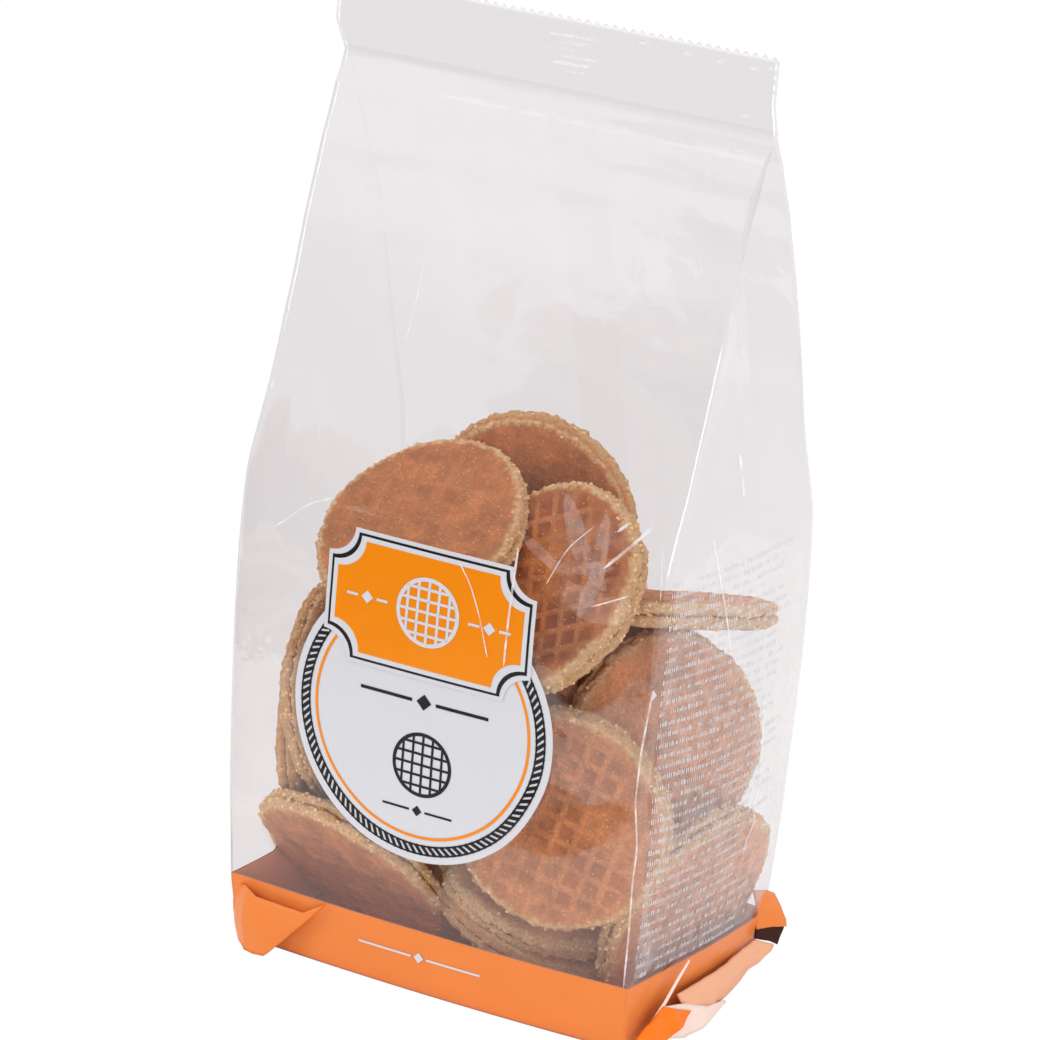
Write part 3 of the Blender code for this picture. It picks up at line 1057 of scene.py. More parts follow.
def skin_object(rings, materials, panel, rows):
    """Joins the rings into one closed mesh, with a saw-cut top and a flat base."""
    count = len(panel)
    crown = rings[-1].copy()
    for c in range(count):
        place = c if c <= FACE_COLUMNS else 2 * FACE_COLUMNS + SIDE_COLUMNS - c
        on_face = panel[c] in (0, 2)
        tooth = on_face and place % 2 == 1
        jag = noise.noise(Vector((place * 0.71, 3.3, 0)))
        crown[c, 2] = SEAL_CROWN - (TOOTH_DEPTH if tooth else VALLEY_DEPTH) - 0.35 * abs(jag)
    rings = np.concatenate([rings, crown[None]])
    points = list(rings.reshape(-1, 3))
    faces, slots = [], []
    for r in range(len(rings) - 1):
        for c in range(count):
            beside = (c + 1) % count
            low, high = r * count, (r + 1) * count
            faces.append([low + c, low + beside, high + beside, high + c])
            slots.append(1 if rows[r] < BAND_TOP - 0.01 else 2 if rows[r] > SEAL_FOOT else 0)
    top = (len(rings) - 1) * count
    right, back, left = FACE_COLUMNS, FACE_COLUMNS + SIDE_COLUMNS, 2 * FACE_COLUMNS + SIDE_COLUMNS
    for c in range(FACE_COLUMNS):
        behind = left - c
        faces.append([top + c, top + c + 1, top + behind - 1, top + behind])
        slots.append(0)
    faces.append([top + c for c in range(right, back + 1)])
    faces.append([top + c for c in range(left, count)] + [top])
    slots += [0, 0]
    grid = base_grid(points, rings[0], right, back, left)
    for i in range(FACE_COLUMNS):
        for j in range(SIDE_COLUMNS):
            faces.append([grid[i][j], grid[i][j + 1], grid[i + 1][j + 1], grid[i + 1][j]])
            slots.append(1)
    return mesh_object("bag_film", points, faces, materials, slots)


def base_grid(points, ring, right, back, left):
    """Rows of corners across the flat base, sharing the lowest ring's corners at its edge."""
    count = len(ring)
    grid = [[0] * (SIDE_COLUMNS + 1) for _ in range(FACE_COLUMNS + 1)]
    for i in range(FACE_COLUMNS + 1):
        for j in range(SIDE_COLUMNS + 1):
            if j == 0:
                grid[i][j] = i
            elif j == SIDE_COLUMNS:
                grid[i][j] = left - i
            elif i == FACE_COLUMNS:
                grid[i][j] = right + j
            elif i == 0:
                grid[i][j] = (count - j) % count
            else:
                u, v = i / FACE_COLUMNS, j / SIDE_COLUMNS
                near, far = ring[i], ring[left - i]
                west, east = ring[(count - j) % count], ring[right + j]
                spot = (1 - v) * near + v * far + (1 - u) * west + u * east
                spot -= (1 - u) * (1 - v) * ring[0] + u * (1 - v) * ring[right]
                spot -= (1 - u) * v * ring[left] + u * v * ring[back]
                grid[i][j] = len(points)
                points.append(spot)
    return grid


class FilmSettings(bpy.types.PropertyGroup):
    """Colour of the film's printed band."""

    band_colour: colour_setting("Band", "The printed band round the foot", "#EB8540")


class BAG_OT_film(bpy.types.Operator):
    """Makes the closed film with its base, printed band and crimped top seal"""

    bl_idname = "bag.film"
    bl_label = "Film"

    def execute(self, context):
        band = ink_material("orange_flexo_ink_band", tuple(context.scene.bag_film.band_colour))
        clear = clear_film_material("clear_cast_polypropylene", "#F5F3F4")
        pressed = clear_film_material("pressed_seal_polypropylene", "#F8F6F7")
        made, lining = film_mesh([clear, band, pressed], wafer_objects())
        hand_over(lining)
        hand_over(made)
        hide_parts(NODE)
        return {"FINISHED"}


def film_tree():
    return tree_over([bpy.data.objects["bag_film"]])


def onto_film(tree, spots, start, way, offset):
    """Spots cast onto the film along way, then lifted off it by offset millimetres."""
    laid = []
    for spot in spots:
        origin = Vector(spot) * MM - Vector(way) * start * MM
        hit, normal, _, _ = tree.ray_cast(origin, Vector(way))
        if hit is None:
            raise RuntimeError(f"no film at {tuple(spot)}")
        if normal.dot(Vector(way)) > 0:
            normal = -normal
        laid.append((hit + normal * offset * MM) / MM)
    return laid


# Print on the front

LABEL_STEPS = 180
ICON_STEPS = 72
BAR_STEP = 1.5
# The side print's rows and runs, and the least and most that a tick is stretched and shifted
RUNS_A_METRE = 700.0
LINES_A_METRE = 1390.0
TICK_STRETCH = ((0.6, 0.6, 1.0), (1.7, 1.15, 1.0))
TICK_SHIFT = ((-0.14 * MM, -0.1 * MM, 0.0), (0.14 * MM, 0.12 * MM, 0.0))
SIDE_BLOCK = (-4.0, 60.5)
ROPE_RULE = 0.42
# How far the label's white and the marks on it stand off the film
LABEL_LIFT, MARK_LIFT = 0.12, 0.2
TOWARDS_FRONT = (0.0, 1.0, 0.0)
TOWARDS_SIDE = (-1.0, 0.0, 0.0)
TOWARDS_BACK = (0.0, -1.0, 0.0)
CAST_START = 90.0


def circle_loop(middle, radius, count=LABEL_STEPS):
    x, z = middle
    turn = 2 * math.pi / count
    return [
        (x + radius * math.cos(i * turn), z + radius * math.sin(i * turn)) for i in range(count)
    ]


def filled(outline, step=1.6):
    """Points and triangles that fill one outline, close enough together to follow the film."""
    xs, zs = zip(*outline)
    inside = []
    for i in range(int((max(xs) - min(xs)) / step)):
        for j in range(int((max(zs) - min(zs)) / step)):
            inside.append((min(xs) + (i + 0.5) * step, min(zs) + (j + 0.5) * step))
    keep = [p for p in inside if clear_of(outline, p, step * 0.45)]
    count = len(outline)
    points = [Vector(p) for p in list(outline) + keep]
    edges = [(i, (i + 1) % count) for i in range(count)]
    flat, _, triangles, _, _, _ = delaunay_2d_cdt(points, edges, [list(range(count))], 1, 1e-4)
    return [tuple(p) for p in flat], [list(t) for t in triangles]


def clear_of(outline, spot, room):
    """True if the spot is further than room from every corner of the outline."""
    corners = np.array(outline)
    return float(np.hypot(corners[:, 0] - spot[0], corners[:, 1] - spot[1]).min()) > room


def strip_between(outer, inner):
    """Quads between two loops with the same number of corners."""
    count = len(outer)
    faces = [
        [i, (i + 1) % count, count + (i + 1) % count, count + i] for i in range(count)
    ]
    return outer + inner, faces


def ladder_faces(rows):
    """Quads of a strip whose corners come in pairs, left and right."""
    return [[2 * i, 2 * i + 1, 2 * i + 3, 2 * i + 2] for i in range(rows)]


def bar(start, end, width):
    """A straight stroke from start to end as a strip of quads."""
    (x0, z0), (x1, z1) = start, end
    length = math.hypot(x1 - x0, z1 - z0)
    rows = max(1, math.ceil(length / BAR_STEP))
    side = (-(z1 - z0) / length * width / 2, (x1 - x0) / length * width / 2)
    points = []
    for row in range(rows + 1):
        share = row / rows
        x, z = x0 + (x1 - x0) * share, z0 + (z1 - z0) * share
        points += [(x + side[0], z + side[1]), (x - side[0], z - side[1])]
    return points, ladder_faces(rows)


def merged(parts):
    points, faces = [], []
    for some, their in parts:
        base = len(points)
        points += some
        faces += [[base + i for i in face] for face in their]
    return points, faces


def printed(name, parts, tree, offset, material, way=TOWARDS_FRONT):
    """Flat artwork laid onto the film, its faces turned outwards."""
    points, faces = merged(parts)
    if way == TOWARDS_FRONT:
        spots = [(x, 0.0, z) for x, z in points]
    else:
        spots = [(0.0, y, z) for y, z in points]
    laid = onto_film(tree, spots, CAST_START, way, offset)
    made = mesh_object(name, laid, faces, [material])
    shape = bmesh.new()
    shape.from_mesh(made.data)
    shape.normal_update()
    turn = [face for face in shape.faces if face.normal.dot(Vector(way)) > 0]
    bmesh.ops.reverse_faces(shape, faces=turn)
    shape.to_mesh(made.data)
    shape.free()
    return hand_over(made)


def plaque_loop(middle, half_width, half_height, notch):
    """A plain ticket shape: an oblong whose corners are hollow quarter circles."""
    x0, z0 = middle
    loop = []
    corners = ((1, 1), (-1, 1), (-1, -1), (1, -1))
    for sx, sz in corners:
        quarter = []
        for step in range(13):
            angle = math.radians(90 * step / 12)
            x = half_width - notch * math.cos(angle)
            z = half_height - notch * math.sin(angle)
            quarter.append((x0 + sx * x, z0 + sz * z))
        first = quarter if sx * sz > 0 else quarter[::-1]
        loop += first[::-1]
    return even_loop(loop, 1.2)


def even_loop(loop, step):
    """The same outline with its long edges cut into short ones."""
    made = []
    for (x0, z0), (x1, z1) in zip(loop, loop[1:] + loop[:1]):
        cuts = max(1, round(math.hypot(x1 - x0, z1 - z0) / step))
        made += [(x0 + (x1 - x0) * i / cuts, z0 + (z1 - z0) * i / cuts) for i in range(cuts)]
    return made


def wafer_icon(middle, radius, line):
    """A plain drawing of a waffle disc: a ring with a grid in it."""
    loops = [circle_loop(middle, reach, ICON_STEPS) for reach in (radius, radius - line)]
    parts = [strip_between(*loops)]
    for step in (-2, -1, 0, 1, 2):
        away = step * radius * 0.33
        half = math.sqrt((radius - line * 0.5) ** 2 - away**2)
        x, z = middle
        parts.append(bar((x - half, z + away), (x + half, z + away), line * 0.7))
        parts.append(bar((x + away, z - half), (x + away, z + half), line * 0.7))
    return parts


def divider(middle, half, line):
    """Two thin rules with a small diamond between them."""
    x, z = middle
    gem = line * 2.4
    return [
        bar((x - half, z), (x - gem * 1.6, z), line),
        bar((x + gem * 1.6, z), (x + half, z), line),
        ([(x - gem, z), (x, z - gem), (x + gem, z), (x, z + gem)], [[0, 1, 2, 3]]),
    ]


def rope_tree(material):
    """A node tree that sets slanted strokes round a circle, like the lay of a rope."""
    tree, given = new_tree("rope_strokes", ["Strokes"], ["Radius", "Length", "Width", "Slant"])
    ring = {"Vertices": given["Strokes"], "Radius": given["Radius"]}
    oblong = {"Size X": given["Length"], "Size Y": given["Width"], "Vertices X": 4, "Vertices Y": 2}
    slanted = {
        "Geometry": add_node(tree, "GeometryNodeMeshGrid", oblong),
        "Rotation": add_node(tree, "ShaderNodeCombineXYZ", {"Z": given["Slant"]}),
    }
    place = {"Vector": add_node(tree, "GeometryNodeInputPosition")}
    axes = {"axis": "X", "pivot_axis": "Z"}
    strokes = {
        "Points": add_node(tree, "GeometryNodeMeshCircle", ring),
        "Instance": add_node(tree, "GeometryNodeTransform", slanted),
        "Rotation": add_node(tree, "FunctionNodeAlignRotationToVector", place, **axes),
    }
    return finish_tree(tree, add_node(tree, "GeometryNodeInstanceOnPoints", strokes), material)


def ticks_tree(material):
    """A node tree that fills a block with rows of small upright ticks, broken into runs."""
    measures = ["Width", "Height", "Tick width", "Tick height", "Gap share", "Ragged"]
    tree, given = new_tree("tick_rows", ["Rows", "Ticks", "Seed"], measures)
    block = {"Size X": given["Width"], "Size Y": given["Height"]}
    block.update({"Vertices X": given["Ticks"], "Vertices Y": given["Rows"]})
    oblong = {"Size X": given["Tick width"], "Size Y": given["Tick height"]}
    oblong.update({"Vertices X": 2, "Vertices Y": 2})
    place = {0: add_node(tree, "GeometryNodeInputPosition")}
    split = add_node(tree, "ShaderNodeSeparateXYZ", place).outputs
    run = add_node(tree, "ShaderNodeMath", {0: split["X"], 1: RUNS_A_METRE}, operation="MULTIPLY")
    row = add_node(tree, "ShaderNodeMath", {0: split["Y"], 1: LINES_A_METRE}, operation="MULTIPLY")
    cell = {0: add_node(tree, "ShaderNodeCombineXYZ", {"X": run, "Y": row})}
    whole = {"Vector": add_node(tree, "ShaderNodeVectorMath", cell, operation="FLOOR")}
    chance = {0: add_node(tree, "ShaderNodeTexWhiteNoise", whole), 1: given["Gap share"]}
    line = {"W": add_node(tree, "ShaderNodeMath", {0: row}, operation="FLOOR")}
    ends = add_node(tree, "ShaderNodeTexWhiteNoise", line, noise_dimensions="1D")
    short = {0: ends, 1: given["Ragged"]}
    cut = {0: given["Width"], 1: 0.5, 2: add_node(tree, "ShaderNodeMath", short, operation="MULTIPLY")}
    past = {0: split["X"], 1: add_node(tree, "ShaderNodeMath", cut, operation="MULTIPLY_ADD")}
    gone = {
        0: add_node(tree, "FunctionNodeCompare", chance, operation="LESS_THAN"),
        1: add_node(tree, "FunctionNodeCompare", past, operation="GREATER_THAN"),
    }
    cleared = {
        "Geometry": add_node(tree, "GeometryNodeMeshGrid", block),
        "Selection": add_node(tree, "FunctionNodeBooleanMath", gone, operation="OR"),
    }
    stretch, shift = (
        add_node(
            tree,
            "FunctionNodeRandomValue",
            {0: least, 1: most, "Seed": given["Seed"]},
            data_type="FLOAT_VECTOR",
        )
        for least, most in (TICK_STRETCH, TICK_SHIFT)
    )
    moved = {
        "Geometry": add_node(tree, "GeometryNodeDeleteGeometry", cleared, domain="POINT"),
        "Offset": shift,
    }
    ticks = {
        "Points": add_node(tree, "GeometryNodeSetPosition", moved),
        "Instance": add_node(tree, "GeometryNodeMeshGrid", oblong),
        "Scale": stretch,
    }
    return finish_tree(tree, add_node(tree, "GeometryNodeInstanceOnPoints", ticks), material)


def flat_mesh_of(tree, values):
    """The flat artwork that a node tree draws in its own plane, as points and faces in mm."""
    holder = add_object("drawing", bpy.data.meshes.new("drawing"))
    mesh = made_by_nodes(holder, tree, values)
    points = [(v.co.x / MM, v.co.y / MM) for v in mesh.vertices]
    faces = [list(p.vertices) for p in mesh.polygons]
    bpy.data.meshes.remove(mesh)
    return points, faces


def shifted(part, middle):
    points, faces = part
    return [(x + middle[0], z + middle[1]) for x, z in points], faces


class PrintSettings(bpy.types.PropertyGroup):
    """Places, sizes and colours of the print on the film."""

    label_x: length_setting("Label across", "The round label's middle from the bag's middle", -4.7)
    label_z: length_setting("Label height", "The round label's middle above the base", 62.2)
    label_radius: length_setting("Label radius", "Of the round white label", 31.35)
    rope_strokes: IntProperty(
        name="Rope strokes", description="Strokes round the rope ring", default=112
    )
    text_rows: IntProperty(
        name="Tick rows", description="Rows of ticks on the side panel", default=38
    )
    white: colour_setting("White", "The white ink", "#D2D2D7")
    orange: colour_setting("Orange", "The plaque's ink", "#F0880C")
    black: colour_setting("Black", "The dark ink", "#221F21")


class BAG_OT_print(bpy.types.Operator):
    """Lays the label, plaque, rope ring and side print onto the film"""

    bl_idname = "bag.front_print"
    bl_label = "Print"

    def execute(self, context):
        sizes = context.scene.bag_print
        tree = film_tree()
        middle = (sizes.label_x / MM, sizes.label_z / MM)
        radius = sizes.label_radius / MM
        white = ink_material("white_flexo_ink", tuple(sizes.white), 0.02)
        black = ink_material("black_flexo_ink", tuple(sizes.black), 0.05)
        orange = ink_material("orange_flexo_ink_plaque", tuple(sizes.orange), 0.05)
        printed("label_white", [filled(circle_loop(middle, radius))], tree, LABEL_LIFT, white)
        rope = self.rope_ring(sizes, middle, radius - 1.6, radius - 3.95, black)
        printed("rope_ring", rope, tree, MARK_LIFT, black)
        thin = strip_between(circle_loop(middle, radius - 5.2), circle_loop(middle, radius - 5.85))
        printed("label_ring", [thin], tree, MARK_LIFT, orange)
        x, z = middle
        marks = wafer_icon((x + 1, z - 9.5), 7.2, 0.8)
        marks += divider((x + 0.5, z + 4.5), 15.5, 0.75)
        marks += divider((x + 0.5, z - 20.0), 8.5, 0.5)
        printed("label_marks", marks, tree, MARK_LIFT, black)
        self.plaque((x, z + 24.0), tree, {"white": white, "black": black, "orange": orange})
        block = shifted(self.side_ticks(sizes, white), SIDE_BLOCK)
        printed("side_print", [block], tree, 0.15, white, TOWARDS_SIDE)
        printed("band_marks", divider((-1.5, 9.0), 15.0, 0.5), tree, MARK_LIFT, white)
        return {"FINISHED"}

    def rope_ring(self, sizes, middle, outer, inner, black):
        """A rope's slanted strokes between two thin rules."""
        values = {
            "Strokes": sizes.rope_strokes,
            "Radius": (outer + inner) / 2 * MM,
            "Length": 2.7 * MM,
            "Width": 0.8 * MM,
            "Slant": math.radians(38),
        }
        rules = [
            strip_between(circle_loop(middle, r), circle_loop(middle, r - ROPE_RULE))
            for r in (outer, inner + ROPE_RULE)
        ]
        return rules + [shifted(flat_mesh_of(rope_tree(black), values), middle)]

    def plaque(self, middle, tree, inks):
        """The ticket shape in four layers of ink, with its marks on top."""
        layers = (
            ("plaque_edge", "white", 25.0, 14.7, 6.0, 0.28),
            ("plaque_line", "black", 24.1, 13.8, 6.0, 0.34),
            ("plaque_gap", "white", 23.55, 13.25, 6.2, 0.38),
            ("plaque_orange", "orange", 22.5, 12.2, 6.4, 0.42),
        )
        for name, ink, half_width, half_height, notch, offset in layers:
            loop = plaque_loop(middle, half_width, half_height, notch)
            printed(name, [filled(loop)], tree, offset, inks[ink])
        x, z = middle[0], middle[1] + 0.4
        marks = wafer_icon((x, z), 7.6, 0.9)
        marks += divider((x - 14.8, z), 5.0, 0.6)
        marks += divider((x + 14.8, z), 5.0, 0.6)
        printed("plaque_marks", marks, tree, 0.5, inks["white"])

    def side_ticks(self, sizes, white):
        """The block of ticks that stands for the side panel's small print."""
        values = {
            "Rows": sizes.text_rows,
            "Ticks": 78,
            "Seed": 5,
            "Width": 46 * MM,
            "Height": 87 * MM,
            "Tick width": 0.21 * MM,
            "Tick height": 1.05 * MM,
            "Gap share": 0.17,
            "Ragged": -14 * MM,
        }
        return flat_mesh_of(ticks_tree(white), values)


# Folds at the base, painted highlights along creases in the film, and the back seam

# Each fold is a sheet through rows of corners, from the top down
FRONT_EAR = (
    ((-50.4, -27.5, 12.6), (-45.4, -30.9, 13.8), (-42.4, -31.6, 12.4), (-30.0, -31.6, 12.0),
     (-25.2, -31.3, 15.0)),
    ((-49.6, -28.6, 6.4), (-44.6, -32.4, 6.4), (-41.5, -33.0, 6.0), (-35.5, -33.6, 6.2),
     (-30.2, -32.6, 8.8)),
    ((-47.0, -29.6, 0.3), (-43.6, -33.0, 0.1), (-40.6, -33.8, 0.1), (-37.8, -34.0, 0.5),
     (-36.0, -33.3, 2.2)),
)
PALE_SKIRT = (
    ((50.6, -11.0, 8.6), (50.8, -1.0, 8.2), (50.8, 7.0, 7.9), (50.8, 17.0, 8.4),
     (50.8, 25.5, 9.0), (53.0, 30.4, 6.6)),
    ((52.4, -10.5, 6.4), (52.6, -1.0, 4.6), (52.2, 7.5, 3.6), (51.6, 17.0, 4.2),
     (51.6, 25.0, 5.4), (52.6, 30.0, 5.4)),
    ((53.2, -9.5, 4.2), (53.4, -1.0, 2.0), (51.9, 8.5, 0.4), (50.9, 16.0, 1.0),
     (51.0, 23.0, 2.6), (51.6, 29.0, 4.0)),
)
PINK_TUCK = (
    ((51.2, -18.0, 8.4), (52.6, -10.5, 6.9), (53.4, -1.0, 3.2), (52.4, 9.0, 0.8)),
    ((52.7, -21.0, 2.4), (54.2, -13.0, 0.3), (54.8, -5.5, 0.1), (52.5, 9.4, 0.3)),
)
FRONT_TUCK = (
    ((51.6, -18.4, 8.6), (53.2, -14.5, 7.0), (53.9, -10.4, 5.6)),
    ((51.0, -25.0, 6.2), (53.2, -19.0, 4.2), (54.3, -14.5, 3.4)),
    ((50.6, -29.6, 3.4), (52.6, -24.5, 2.0), (53.6, -20.5, 1.6)),
)
BACK_LOBE = (
    ((50.2, 23.5, 21.0), (51.2, 28.0, 20.0), (51.4, 31.0, 18.2)),
    ((50.8, 24.0, 17.4), (52.6, 28.2, 16.6), (53.4, 31.2, 15.4)),
    ((50.9, 24.6, 14.2), (53.0, 28.6, 13.6), (54.6, 31.4, 13.0)),
    ((50.9, 25.2, 11.4), (53.0, 28.8, 11.4), (55.0, 31.2, 11.4)),
)
# The pocket's inner sheet, which carries painted shade
LOBE_POCKET = (
    ((50.6, 25.6, 11.6), (52.6, 28.8, 11.6), (54.4, 31.6, 11.5)),
    ((50.6, 25.6, 9.0), (52.4, 29.0, 7.8), (53.4, 31.4, 6.4)),
)
# Where the film of the side folds over the front's, low at the corner
CORNER_LAP = (
    (49.4, -29.6, 2.0), (50.6, -23.0, 6.0), (50.8, -17.7, 8.9), (50.9, -12.6, 12.6), (51.0, -8.0, 15.6),
)
LAP_WIDTHS = (0.6, 1.0, 1.0, 0.9, 0.5)
FOLD_THICKNESS = 0.5
FOLD_CUTS = 6
FOLD_WRINKLE = 0.35


def sheet(name, rows, materials, seed):
    """A fold of film as a thin closed sheet through rows of corners, lightly wrinkled."""
    grid = np.array(rows, float)
    for _ in range(2):
        places = np.linspace(0, len(grid) - 1, (len(grid) - 1) * FOLD_CUTS + 1)
        low = np.minimum(places.astype(int), len(grid) - 2)
        share = (places - low)[:, None, None]
        grid = (grid[low] * (1 - share) + grid[low + 1] * share).swapaxes(0, 1)
    across, down = np.gradient(grid, axis=1), np.gradient(grid, axis=0)
    outward = np.cross(across, down)
    outward /= np.maximum(np.linalg.norm(outward, axis=2, keepdims=True), 1e-6)
    if outward[..., 0].sum() - outward[..., 1].sum() < 0:
        outward = -outward
    start = Vector((seed, 0, 0))
    rise = [[noise.noise(Vector(spot) * 0.22 + start) for spot in row] for row in grid]
    outer = grid + outward * (np.array(rise) * 2 * FOLD_WRINKLE)[..., None]
    inner = outer - outward * FOLD_THICKNESS
    high, wide = grid.shape[:2]
    points = np.concatenate([outer.reshape(-1, 3), inner.reshape(-1, 3)])
    points[:, 2] = np.maximum(points[:, 2], 0.02)
    under = high * wide
    faces, slots = [], []
    for i in range(high - 1):
        for j in range(wide - 1):
            a, d = i * wide + j, (i + 1) * wide + j
            b, c = a + 1, d + 1
            faces += [[a, d, c, b], [under + a, under + b, under + c, under + d]]
            slots += [0, len(materials) - 1]
    border = [(0, j) for j in range(wide)] + [(i, wide - 1) for i in range(1, high)]
    border += [(high - 1, j) for j in reversed(range(wide - 1))]
    border += [(i, 0) for i in reversed(range(1, high - 1))]
    for (i, j), (k, m) in zip(border, border[1:] + border[:1]):
        a, b = i * wide + j, k * wide + m
        faces.append([a, b, under + b, under + a])
        slots.append(0)
    made = mesh_object(name, points, faces, materials, slots)
    shape = bmesh.new()
    shape.from_mesh(made.data)
    bmesh.ops.recalc_face_normals(shape, faces=shape.faces)
    shape.to_mesh(made.data)
    shape.free()
    return hand_over(made)


class BAG_OT_folds(bpy.types.Operator):
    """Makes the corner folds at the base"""

    bl_idname = "bag.folds"
    bl_label = "Base folds"

    def execute(self, context):
        band = bpy.data.materials["orange_flexo_ink_band"]
        inside = bpy.data.materials["pale_print_backing"]
        deep = ink_material("deep_orange_ink", linear("#FF7A08"), 0.04)
        # Painted shade: near-black ink on the pocket's inner sheet, where the fold's hollow is in
        # shadow
        shade = ink_material("painted_pocket_shade", linear("#3A1206"), 0.1, 0.6)
        white = ink_material("white_print_backing", linear("#F8DDD3"), 0.03, 0.4)
        folds = (
            ("front_ear", FRONT_EAR, [band, inside]),
            ("pale_skirt", PALE_SKIRT, [inside, band]),
            ("pink_tuck", PINK_TUCK, [white, inside]),
            ("front_tuck", FRONT_TUCK, [deep, band]),
            ("back_lobe", BACK_LOBE, [band, inside]),
            ("lobe_pocket_shade_sheet", LOBE_POCKET, [shade]),
        )
        for seed, (name, rows, materials) in enumerate(folds, start=1):
            sheet(name, rows, materials, seed)
        return {"FINISHED"}


# Painted highlights along creases: on the front as points across and up, and on the side as
# points back and up
FRONT_CREASE_HIGHLIGHTS = (
    (((43.5, 115.5), (39.0, 110.0), (35.0, 105.5)), 0.6),
    (((38.6, 115.5), (36.0, 112.8)), 0.6),
    (((14.8, 105.0), (14.4, 92.0), (14.1, 79.5)), 0.5),
    (((1.5, 99.5), (4.9, 95.0), (7.6, 89.0), (10.2, 80.5)), 0.3),
    (((31.0, 113.0), (26.5, 108.0), (22.0, 99.0)), 0.25),
    (((41.0, 101.0), (33.0, 97.0)), 0.3),
    (((-44.0, 96.0), (-36.0, 103.0), (-30.0, 106.0)), 0.3),
    (((-20.0, 158.0), (-19.4, 148.0), (-20.0, 140.0)), 0.18),
    (((46.4, 112.0), (47.3, 106.0), (47.6, 101.0)), 0.25),
    (((47.9, 82.0), (46.6, 69.0), (46.2, 57.0), (47.6, 47.0), (47.2, 39.5), (47.3, 29.0),
      (47.0, 15.5)), 0.36),
)
# Painted sheen in soft wider strips: the front corner's ribbon, partly doubled film, and bright facets
FRONT_RIBBON = (
    (((47.7, 100.0), (48.2, 82.0), (47.2, 69.0), (46.9, 57.0), (48.0, 47.0), (47.8, 39.5),
      (47.9, 29.0), (47.6, 15.5)), 2.0),
    (((23.0, 118.0), (29.0, 108.0), (36.0, 101.0)), 4.0),
    (((15.0, 108.0), (24.0, 103.0), (37.0, 106.0)), 2.4),
    (((33.0, 116.0), (34.0, 104.0), (30.0, 94.0)), 3.0),
)
SIDE_CREASE_HIGHLIGHTS = (
    (((-7.0, 128.0), (-6.6, 124.0)), 0.9),
    (((-6.2, 123.0), (-5.6, 118.5)), 0.7),
    (((-16.0, 112.0), (-10.0, 96.0), (-6.0, 84.0)), 0.4),
    (((8.0, 72.0), (12.0, 52.0), (10.0, 34.0)), 0.4),
)
# A painted reflection: the slightly milky area on the side panel, where it mirrors the floor
SIDE_SHEEN = [
    (-27.0, 16.5), (25.0, 16.5), (27.0, 60.0), (23.0, 100.0), (-8.0, 112.0), (-26.0, 104.0),
]
# Painted glints on the seal
SEAL_GLINTS = (
    (((-4.0, 205.3), (7.0, 205.6)), 0.55), (((-2.0, 203.9), (5.0, 204.1)), 0.5),
    (((-4.5, 202.4), (2.5, 202.5)), 0.6), (((-1.0, 201.0), (8.0, 201.3)), 0.45),
    (((-3.0, 199.5), (6.5, 199.8)), 0.55), (((0.5, 198.1), (5.5, 198.2)), 0.5),
    (((17.0, 207.0), (19.2, 207.1)), 0.7), (((27.0, 206.6), (29.6, 206.7)), 0.8),
    (((34.6, 206.4), (36.8, 206.5)), 0.6), (((42.2, 206.2), (44.6, 206.3)), 0.7),
    (((46.2, 207.0), (47.6, 207.1)), 0.9), (((41.8, 196.4), (43.4, 196.2)), 1.6),
)


def streak(line, width):
    """A narrow strip along a line of places, tapered to its ends."""
    places = np.array(line, float)
    steps = np.linalg.norm(np.diff(places, axis=0), axis=1)
    run = np.concatenate([[0], np.cumsum(steps)])
    count = max(4, round(run[-1] / 1.2))
    at = np.linspace(0, run[-1], count + 1)
    middle = np.stack([np.interp(at, run, places[:, 0]), np.interp(at, run, places[:, 1])], 1)
    for _ in range(2):
        middle[1:-1] = (middle[:-2] + 2 * middle[1:-1] + middle[2:]) / 4
    along = np.gradient(middle, axis=0)
    side = np.stack([-along[:, 1], along[:, 0]], 1)
    side /= np.linalg.norm(side, axis=1, keepdims=True)
    wide = width / 2 * np.sqrt(np.clip(np.minimum(at, run[-1] - at) / (width * 1.5), 0.02, 1))
    left, right = middle + side * wide[:, None], middle - side * wide[:, None]
    points = [tuple(p) for pair in zip(left, right) for p in pair]
    return points, ladder_faces(count)


def painted_highlight_material(name, haze):
    """Painted highlight: film mixed in blotches with a glossy white, where it would catch the lamps."""
    material, tree = new_material(name)
    white = {"Base Color": linear("#F4F2F2"), "Roughness": 0.25, "IOR": 1.49}
    uneven = {0: mottle(tree, 3.0), 1: 0.35, 2: 0.65, 3: haze * 0.4, 4: haze}
    both = {
        0: add_node(tree, "ShaderNodeMapRange", uneven),
        1: add_node(tree, "ShaderNodeBsdfTransparent", {"Color": (1, 1, 1, 1)}),
        2: add_node(tree, "ShaderNodeBsdfPrincipled", white),
    }
    finish_material(tree, add_node(tree, "ShaderNodeMixShader", both))
    return material


